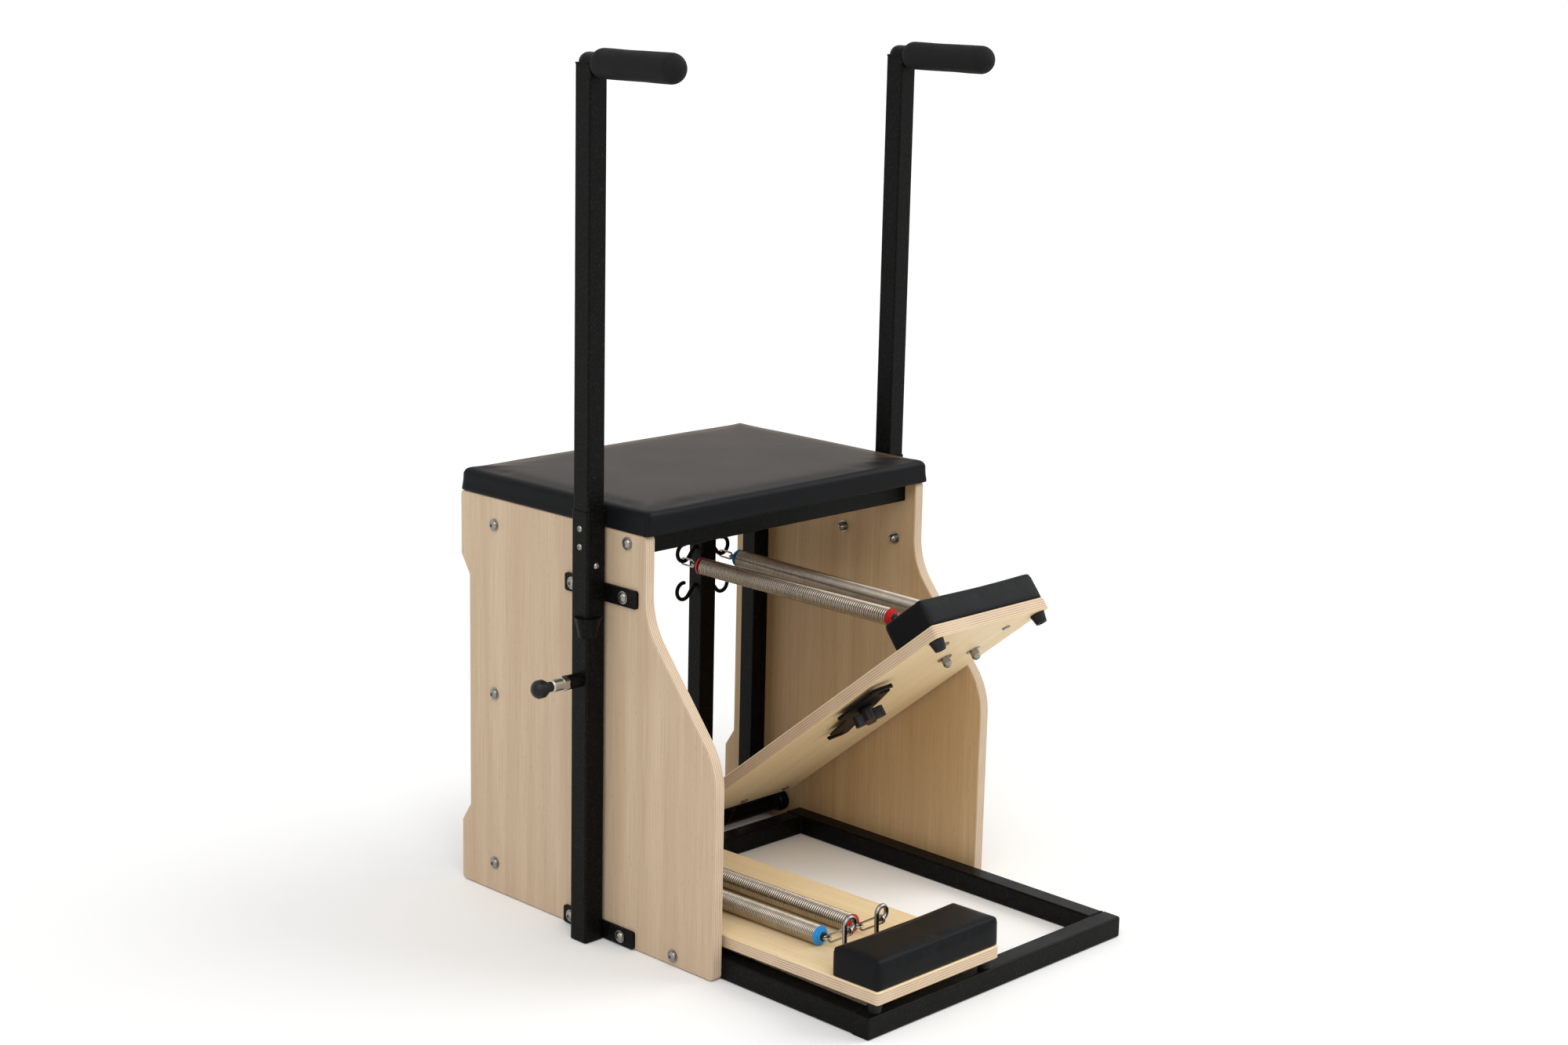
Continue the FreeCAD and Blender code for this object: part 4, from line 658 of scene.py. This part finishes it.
# Moulded nylon, for the knobs and the springs' black plugs: a dull shine over a spark-eroded
# grain of 0.8 mm, drawn coarser than real.
nylon_black, tree = new_finish("moulded_black_nylon")
place = add(tree, "ShaderNodeTexCoord").outputs["Object"]
spark = add(tree, "ShaderNodeTexNoise", {"Vector": place, "Scale": 1 / 0.0008, "Detail": 3.0})
rub = add(tree, "ShaderNodeTexNoise", {"Vector": place, "Scale": 1 / 0.015, "Detail": 2.0})
tone = add(tree, "ShaderNodeMix", {
    BY: rub.outputs["Fac"], FROM: linear("#0E0E0E"), TO: linear("#171717")}, data_type="RGBA")
gloss = add(tree, "ShaderNodeMapRange", {
    "Value": rub.outputs["Fac"], **NOISE_SPAN, "To Min": 0.34, "To Max": 0.48})
grainy = add(tree, "ShaderNodeBump", {
    "Height": spark.outputs["Fac"], "Strength": 0.08, "Distance": 0.0002})
shader = add(tree, "ShaderNodeBsdfPrincipled", {
    "Base Color": tone.outputs[MIXED], "Roughness": gloss.outputs[0],
    "Normal": grainy.outputs[0], "IOR": 1.33})
add(tree, "ShaderNodeOutputMaterial", {"Surface": shader.outputs[0]})
coat(nylon_black, "pin_knob_left", "pin_knob_right", "lock_knob", "inner_spring_foot_plug",
     "outer_spring_foot_plug")


# The pins' return springs: 1 mm wire round the plunger's stem.
def coil_tree(name):
    """Geometry nodes for a wound spring along +Z, turned and moved to its place."""
    group = bpy.data.node_groups.new(name, "GeometryNodeTree")
    sockets = add_inputs(group, (
        ("Turns", "Float"), ("Mean radius", "Float"), ("Wire radius", "Float"),
        ("Length", "Float"), ("Steps", "Int"), ("Sides", "Int"), ("Turn", "Rotation"),
        ("Place", "Vector"), ("Finish", "Material")))
    group.interface.new_socket("Coil", in_out="OUTPUT", socket_type="NodeSocketGeometry")
    given = add(group, "NodeGroupInput")
    line = add(group, "GeometryNodeCurveSpiral", {
        "Resolution": given.outputs["Steps"], "Rotations": given.outputs["Turns"],
        "Start Radius": given.outputs["Mean radius"], "End Radius": given.outputs["Mean radius"],
        "Height": given.outputs["Length"]})
    wire = add(group, "GeometryNodeCurvePrimitiveCircle", {
        "Resolution": given.outputs["Sides"], "Radius": given.outputs["Wire radius"]},
        mode="RADIUS")
    wound = add(group, "GeometryNodeCurveToMesh", {
        "Curve": line.outputs[0], "Profile Curve": wire.outputs[0], "Fill Caps": True})
    placed = add(group, "GeometryNodeTransform", {
        "Geometry": wound.outputs[0], "Translation": given.outputs["Place"],
        "Rotation": given.outputs["Turn"]})
    real = add(group, "GeometryNodeRealizeInstances", {"Geometry": placed.outputs[0]})
    smooth = add(group, "GeometryNodeSetShadeSmooth", {"Geometry": real.outputs[0]})
    dressed = add(group, "GeometryNodeSetMaterial", {
        "Geometry": smooth.outputs[0], "Material": given.outputs["Finish"]})
    add(group, "NodeGroupOutput", {"Coil": dressed.outputs[0]})
    return group, sockets


def coil(name, start, end, turns, outer, wire, steps, sides, finish):
    """A wound spring between two points, as a plain mesh."""
    piece = host(name)
    modifier = piece.modifiers.new("winding", "NODES")
    modifier.node_group = wound_coil
    run = Vector(end) - Vector(start)
    first = Vector(start) + run.normalized() * wire / 2
    values = {"Turns": float(turns), "Mean radius": (outer - wire) / 2, "Wire radius": wire / 2,
              "Length": run.length - wire, "Steps": steps, "Sides": sides,
              "Turn": run.to_track_quat("Z", "X").to_euler(), "Place": first, "Finish": finish}
    for label, value in values.items():
        modifier[wound_coil_sockets[label]] = value
    return settle(piece)


wound_coil, wound_coil_sockets = coil_tree("wound_coil")
# From the barrels' outer ends in to where the return springs start.
SLEEVE_INSET = 0.0308
springs_lo, springs_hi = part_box("pin_springs")
sleeve_y, sleeve_z = (springs_lo.y + springs_hi.y) / 2, (springs_lo.z + springs_hi.z) / 2
sleeve_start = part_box("pin_barrels")[1].x - SLEEVE_INSET
pin_coils = []
for side, sign in (("left", -1), ("right", 1)):
    pin_coils.append(coil("pin_coil_" + side, (sign * sleeve_start, sleeve_y, sleeve_z),
                          (sign * springs_hi.x, sleeve_y, sleeve_z), turns=9,
                          outer=springs_hi.z - springs_lo.z, wire=0.001, steps=16, sides=6,
                          finish=bright_steel))
    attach(pin_coils[-1], "frame")
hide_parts("pin_springs")

# ---------------------------------------------------------------------------
# Pedals: two 18 mm birch boards on hinge tubes at the back, each on its own
# axle bushes. Clear lacquer, so they are yellower than the sides.

PIVOT = Vector((0.0, 0.272176, 0.032))
PEDAL_TURN = {"left": math.radians(0.93), "right": math.radians(38.47)}
BOARD_UNDER = 0.0024
pedal_tones = {"light": "#EFD8AE", "band": "#E6CC9F", "pore": "#D3B483", "fleck": "#AB885A",
               "edge": "#DDC8AE", "edge_dark": "#CBB294", "line": "#9A795E"}


def pedal_place(side):
    """From a pedal's own frame (across, back, up from the hinge) to the chair."""
    return Matrix.Translation(PIVOT) @ Matrix.Rotation(-PEDAL_TURN[side], 4, "X")


for side, seed in (("left", 1.9), ("right", 6.4)):
    to_board = Matrix.Rotation(PEDAL_TURN[side], 3, "X")
    under = pedal_place(side) @ Vector((0, 0, BOARD_UNDER))
    pedal_ply = plywood("birch_plywood_pedal_" + side, to_board, under, pedal_tones, seed)
    coat(pedal_ply, "pedal_board_" + side)

# Bushes: plain sleeves of natural nylon between the axle and the hinge tubes.
# Turned, off-white, with fine turning rings.
bush, tree = new_finish("turned_natural_nylon")
place = add(tree, "ShaderNodeTexCoord").outputs["Object"]
rings = add(tree, "ShaderNodeTexWave", {"Vector": place, "Scale": 1 / 0.002}, bands_direction="X")
tone = add(tree, "ShaderNodeMix", {
    BY: rings.outputs["Fac"], FROM: linear("#DAD6CA"), TO: linear("#CDC8BA")}, data_type="RGBA")
shader = add(tree, "ShaderNodeBsdfPrincipled", {
    "Base Color": tone.outputs[MIXED], "Roughness": 0.45, "IOR": 1.53})
add(tree, "ShaderNodeOutputMaterial", {"Surface": shader.outputs[0]})
coat(bush, "hinge_bushes")

# Bumpers: moulded rubber cones, screwed under the boards' front corners. Dull,
# with a grey bloom in 8 mm patches.
rubber, tree = new_finish("moulded_black_rubber")
place = add(tree, "ShaderNodeTexCoord").outputs["Object"]
bloom = add(tree, "ShaderNodeTexNoise", {"Vector": place, "Scale": 1 / 0.008, "Detail": 4.0})
tone = add(tree, "ShaderNodeMix", {
    BY: bloom.outputs["Fac"], FROM: linear("#131313"), TO: linear("#232322")}, data_type="RGBA")
dust = add(tree, "ShaderNodeBump", {
    "Height": bloom.outputs["Fac"], "Strength": 0.1, "Distance": 0.0003})
shader = add(tree, "ShaderNodeBsdfPrincipled", {
    "Base Color": tone.outputs[MIXED], "Roughness": 0.68, "Normal": dust.outputs[0], "IOR": 1.28})
add(tree, "ShaderNodeOutputMaterial", {"Surface": shader.outputs[0]})
coat(rubber, "bumpers_left", "bumpers_right")

# Foot bars: firm foam blocks in the same vinyl, boxed and sewn at the four
# corners, bolted on from under the boards.
FOOT_SIZE = (0.2375, 0.080, 0.041)
FOOT_ROOM = 0.001
FOOT_LIFT = 0.0002
FOOT_MIDDLE = Vector((0.13075, -0.633, 0.0204))
pad_size = tuple(length - FOOT_ROOM for length in FOOT_SIZE)
for side, sign in (("left", -1), ("right", 1)):
    spot = pedal_place(side) @ Matrix.Translation((
        sign * FOOT_MIDDLE.x, FOOT_MIDDLE.y, FOOT_MIDDLE.z + FOOT_LIFT))
    pad = stuffed("foot_bar_" + side, pad_size, corner=0.0035, roll=0.0055, pitch=0.0035,
                  limit=0.0014, ripple=0.0007)
    lips = corner_seams(pad, pad_size, top_share=0.78)
    pad.data.transform(spot)
    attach(pad, "pedal_" + side)
    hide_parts("foot_pad_" + side)
    seam = drops_along("foot_seam_lips_" + side, [[spot @ p for p in line] for line in lips],
                       pitch=LIP_PITCH, radii=(0.0008, 0.0008, 0.0012), spread=0.0, finish=vinyl)
    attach(seam, "pedal_" + side)

# ---------------------------------------------------------------------------
# Springs: close-wound music wire, nickel plated. The red pair is the stronger,
# of thicker wire, and the blue pair the lighter. Plastic caps close the ends and
# hold a wire eye, and links hang the springs on cup hooks and hook bolts.

# Nickel plate over drawn wire: bright and slightly warm, clouded in 20 mm patches.
nickel, tree = new_finish("nickel_plated_music_wire")
place = add(tree, "ShaderNodeTexCoord").outputs["Object"]
haze = add(tree, "ShaderNodeTexNoise", {"Vector": place, "Scale": 1 / 0.02, "Detail": 3.0})
tone = add(tree, "ShaderNodeMix", {
    BY: haze.outputs["Fac"], FROM: linear("#BDB4A7"), TO: linear("#978D80")}, data_type="RGBA")
gloss = add(tree, "ShaderNodeMapRange", {
    "Value": haze.outputs["Fac"], **NOISE_SPAN, "To Min": 0.14, "To Max": 0.24})
shader = add(tree, "ShaderNodeBsdfPrincipled", {
    "Base Color": tone.outputs[MIXED], "Metallic": 1.0, "Roughness": gloss.outputs[0]})
add(tree, "ShaderNodeOutputMaterial", {"Surface": shader.outputs[0]})
coat(nickel, "stored_spring_links", "inner_spring_top_link", "inner_spring_foot_link",
     "outer_spring_top_link", "outer_spring_foot_link")

# Cup hooks: bent rod with the frame's black coat, screwed into the posts. The
# lock plate under the right pedal has the same coat.
coat(powder_coat, "post_hooks", "lock_plate")

# Windings: each spring by its cup hook's and pedal hook's places, its wire and its turns.
COIL_OUTER = 0.0265
CAP_DEPTH = 0.0189
RED_WIRE, RED_TURNS = 0.00365, 94
BLUE_WIRE, BLUE_TURNS = 0.0029, 119
SPRINGS = {
    "inner": ((0.091, 0.327176, 0.437), (0.1215, -0.133523, 0.424802), RED_WIRE, RED_TURNS),
    "outer": ((0.171, 0.327176, 0.437), (0.1835, -0.133523, 0.424802), BLUE_WIRE, BLUE_TURNS)}
# From a hook's rod to the far point of the spring's wire eye, at the top and at the foot.
TOP_REACH, FOOT_REACH = 0.0196, 0.0416
# The stored springs' height above the hinge, their hooks' distance from it, and the hook rods'
# height above the springs' axes.
STORED_UP, HOOK_OUT, HOOK_UP = 0.03395, 0.562, 0.0212
stored_foot = HOOK_OUT - math.sqrt(FOOT_REACH ** 2 - HOOK_UP ** 2)
eyes = {}
for name, (top, foot, wire, turns) in SPRINGS.items():
    top, foot = Vector(top), Vector(foot)
    along = (foot - top).normalized()
    top_eye, foot_eye = top + along * TOP_REACH, foot - along * FOOT_REACH
    eyes[name] = (top_eye, foot_eye)
    start, end = top_eye + along * CAP_DEPTH, foot_eye - along * CAP_DEPTH
    spring = coil(name + "_spring_winding", start, end, turns, COIL_OUTER, wire, steps=22, sides=8,
                  finish=nickel)
    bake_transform(spring)
    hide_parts(name + "_spring_coil")

stored = []
for name, (_, foot, wire, turns) in SPRINGS.items():
    top_eye, foot_eye = eyes[name]
    eye_span = (foot_eye - top_eye).length
    start, end = [pedal_place("left") @ Vector((-foot[0], -u, STORED_UP))
                  for u in (stored_foot - eye_span + CAP_DEPTH, stored_foot - CAP_DEPTH)]
    stored.append(coil("stored_" + name + "_winding", start, end, turns, COIL_OUTER, wire,
                       steps=22, sides=8, finish=nickel))
    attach(stored[-1], "pedal_left")
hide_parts("stored_spring_coils")

# Caps: injection-moulded and glossy, pushed into the coils' ends, red for the
# inner spring of each pair and blue for the outer.
BETWEEN_STORED = -0.1525
CAP_RED, CAP_BLUE = "#C8242B", "#2D9BE0"


def cap_plastic(name, near, far):
    """Moulded cap plastic; the second colour lies outside the stored springs' middle line."""
    material, tree = new_finish(name)
    place = add(tree, "ShaderNodeTexCoord").outputs["Object"]
    across = add(tree, "ShaderNodeSeparateXYZ", {"Vector": place})
    outside = add(tree, "ShaderNodeMath", {0: across.outputs[0], 1: BETWEEN_STORED},
                  operation="LESS_THAN")
    flow = add(tree, "ShaderNodeTexNoise", {"Vector": place, "Scale": 1 / 0.01, "Detail": 3.0})
    pick = add(tree, "ShaderNodeMix", {
        BY: outside.outputs[0], FROM: linear(near), TO: linear(far)}, data_type="RGBA")
    dim = add(tree, "ShaderNodeMapRange", {
        "Value": flow.outputs["Fac"], **NOISE_SPAN, "To Min": 0.0, "To Max": 0.18})
    tone = add(tree, "ShaderNodeMix", {
        BY: dim.outputs[0], FROM: pick.outputs[MIXED], TO: linear("#3A1414")}, data_type="RGBA")
    gloss = add(tree, "ShaderNodeMapRange", {
        "Value": flow.outputs["Fac"], **NOISE_SPAN, "To Min": 0.26, "To Max": 0.36})
    shader = add(tree, "ShaderNodeBsdfPrincipled", {
        "Base Color": tone.outputs[MIXED], "Roughness": gloss.outputs[0], "IOR": 1.49})
    add(tree, "ShaderNodeOutputMaterial", {"Surface": shader.outputs[0]})
    return material


coat(cap_plastic("red_moulded_cap", CAP_RED, CAP_RED), "inner_spring_top_cap",
     "inner_spring_foot_cap")
coat(cap_plastic("blue_moulded_cap", CAP_BLUE, CAP_BLUE), "outer_spring_top_cap",
     "outer_spring_foot_cap")
coat(cap_plastic("stored_moulded_caps", CAP_RED, CAP_BLUE), "stored_spring_caps")

# Hubs: black moulded bosses in the caps' middles, where the wire eyes come out.
# Each is turned from an outline of radius and height over the cap's face.
EYE_DEPTH = 0.0115
HUB_OUTLINE = ((0.0018, -0.0022), (0.0048, -0.0022), (0.0062, -0.0010), (0.0066, 0.0004),
               (0.0018, 0.0004))


def hub(name, eye, along, body):
    """A boss on a cap's face; eye is the wire eye's far point and along runs into the spring."""
    shape = turned(HUB_OUTLINE, closed=True, steps=28, merge=1e-5)
    place = (Matrix.Translation(eye + along * EYE_DEPTH)
             @ along.to_track_quat("Z", "X").to_matrix().to_4x4())
    piece = smooth_piece(name, shape, place, nylon_black)
    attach(piece, body)


for name, (top, foot, *_) in SPRINGS.items():
    top_eye, foot_eye = eyes[name]
    along = (Vector(foot) - Vector(top)).normalized()
    hub(name + "_top_hub", top_eye, along, name + "_spring")
    hub(name + "_foot_hub", foot_eye, -along, name + "_spring_foot")
    near = pedal_place("left") @ Vector((-foot[0], -stored_foot, STORED_UP))
    back = pedal_place("left").to_3x3() @ Vector((0, 1, 0))
    eye_span = (foot_eye - top_eye).length
    hub("stored_" + name + "_foot_hub", near, back, "pedal_left")
    hub("stored_" + name + "_top_hub", near + back * eye_span, -back, "pedal_left")

# ---------------------------------------------------------------------------
# Studio: an endless pale floor, an even white surround and two broad soft lamps,
# one from the front left and one from the front right, at a plain level.

FLOOR_REACH, FLOOR_DROP = 150, -0.0004
floor = host("studio_floor", [(a * FLOOR_REACH, b * FLOOR_REACH, FLOOR_DROP)
                              for a, b in ((-1, -1), (1, -1), (1, 1), (-1, 1))],
             [], [(0, 1, 2, 3)])
paper, tree = new_finish("pale_studio_floor")
shader = add(tree, "ShaderNodeBsdfDiffuse", {"Color": linear("#FAFAF9")})
add(tree, "ShaderNodeOutputMaterial", {"Surface": shader.outputs[0]})
floor.data.materials.append(paper)

# The surround is white to the camera and in reflections, and lights the chair at a lower level.
world = bpy.data.worlds.new("studio_surround")
bpy.context.scene.world = world
world.use_nodes = True
tree = world.node_tree
tree.nodes.clear()
rays = add(tree, "ShaderNodeLightPath")
mirrored = add(tree, "ShaderNodeMath", {
    0: rays.outputs["Is Camera Ray"], 1: rays.outputs["Is Glossy Ray"]}, operation="MAXIMUM")
seen = add(tree, "ShaderNodeMath", {
    0: mirrored.outputs[0], 1: rays.outputs["Is Transmission Ray"]}, operation="MAXIMUM")
level = add(tree, "ShaderNodeMapRange", {"Value": seen.outputs[0], "To Min": 0.66, "To Max": 1.0})
surround = add(tree, "ShaderNodeBackground", {
    "Color": linear("#FFFFFF"), "Strength": level.outputs[0]})
add(tree, "ShaderNodeOutputWorld", {"Surface": surround.outputs[0]})

LAMP_BREADTH = math.radians(45)
for name, energy, way in (("left_lamp", 1.1, (0.50, 0.42, -0.76)),
                          ("right_lamp", 1.15, (-0.70, 0.38, -0.64))):
    sun = bpy.data.lights.new(name, "SUN")
    sun.energy = energy
    sun.angle = LAMP_BREADTH
    lamp = bpy.data.objects.new(name, sun)
    bpy.context.scene.collection.objects.link(lamp)
    lamp.rotation_euler = Vector(way).to_track_quat("-Z", "Y").to_euler()

# Camera: a short telephoto a little above the handles, to the chair's front left, with the
# photograph's focal length in its pixels.
YAW, PITCH, ROLL = math.radians(45.735), math.radians(12.88), math.radians(1.315)
CAMERA_PLACE = (-2.5249, -2.4336, 1.3699)
FOCAL_PIXELS, PHOTO_WIDTH, SENSOR_WIDTH = 3281.46, 2000, 36.0
ahead = Vector((math.sin(YAW) * math.cos(PITCH), math.cos(YAW) * math.cos(PITCH),
                -math.sin(PITCH)))
level_right = Vector((math.cos(YAW), -math.sin(YAW), 0))
level_up = level_right.cross(ahead)
right = level_right * math.cos(ROLL) + level_up * math.sin(ROLL)
up = level_up * math.cos(ROLL) - level_right * math.sin(ROLL)
lens = bpy.data.cameras.new("photo_camera")
lens.sensor_fit = "HORIZONTAL"
lens.sensor_width = SENSOR_WIDTH
lens.lens = SENSOR_WIDTH * FOCAL_PIXELS / PHOTO_WIDTH
lens.clip_end = 500
camera = bpy.data.objects.new("photo_camera", lens)
bpy.context.scene.collection.objects.link(camera)
camera.matrix_world = (Matrix.Translation(CAMERA_PLACE)
                       @ Matrix((right, up, -ahead)).transposed().to_4x4())
bpy.context.scene.camera = camera
bpy.context.scene.view_settings.view_transform = "Standard"
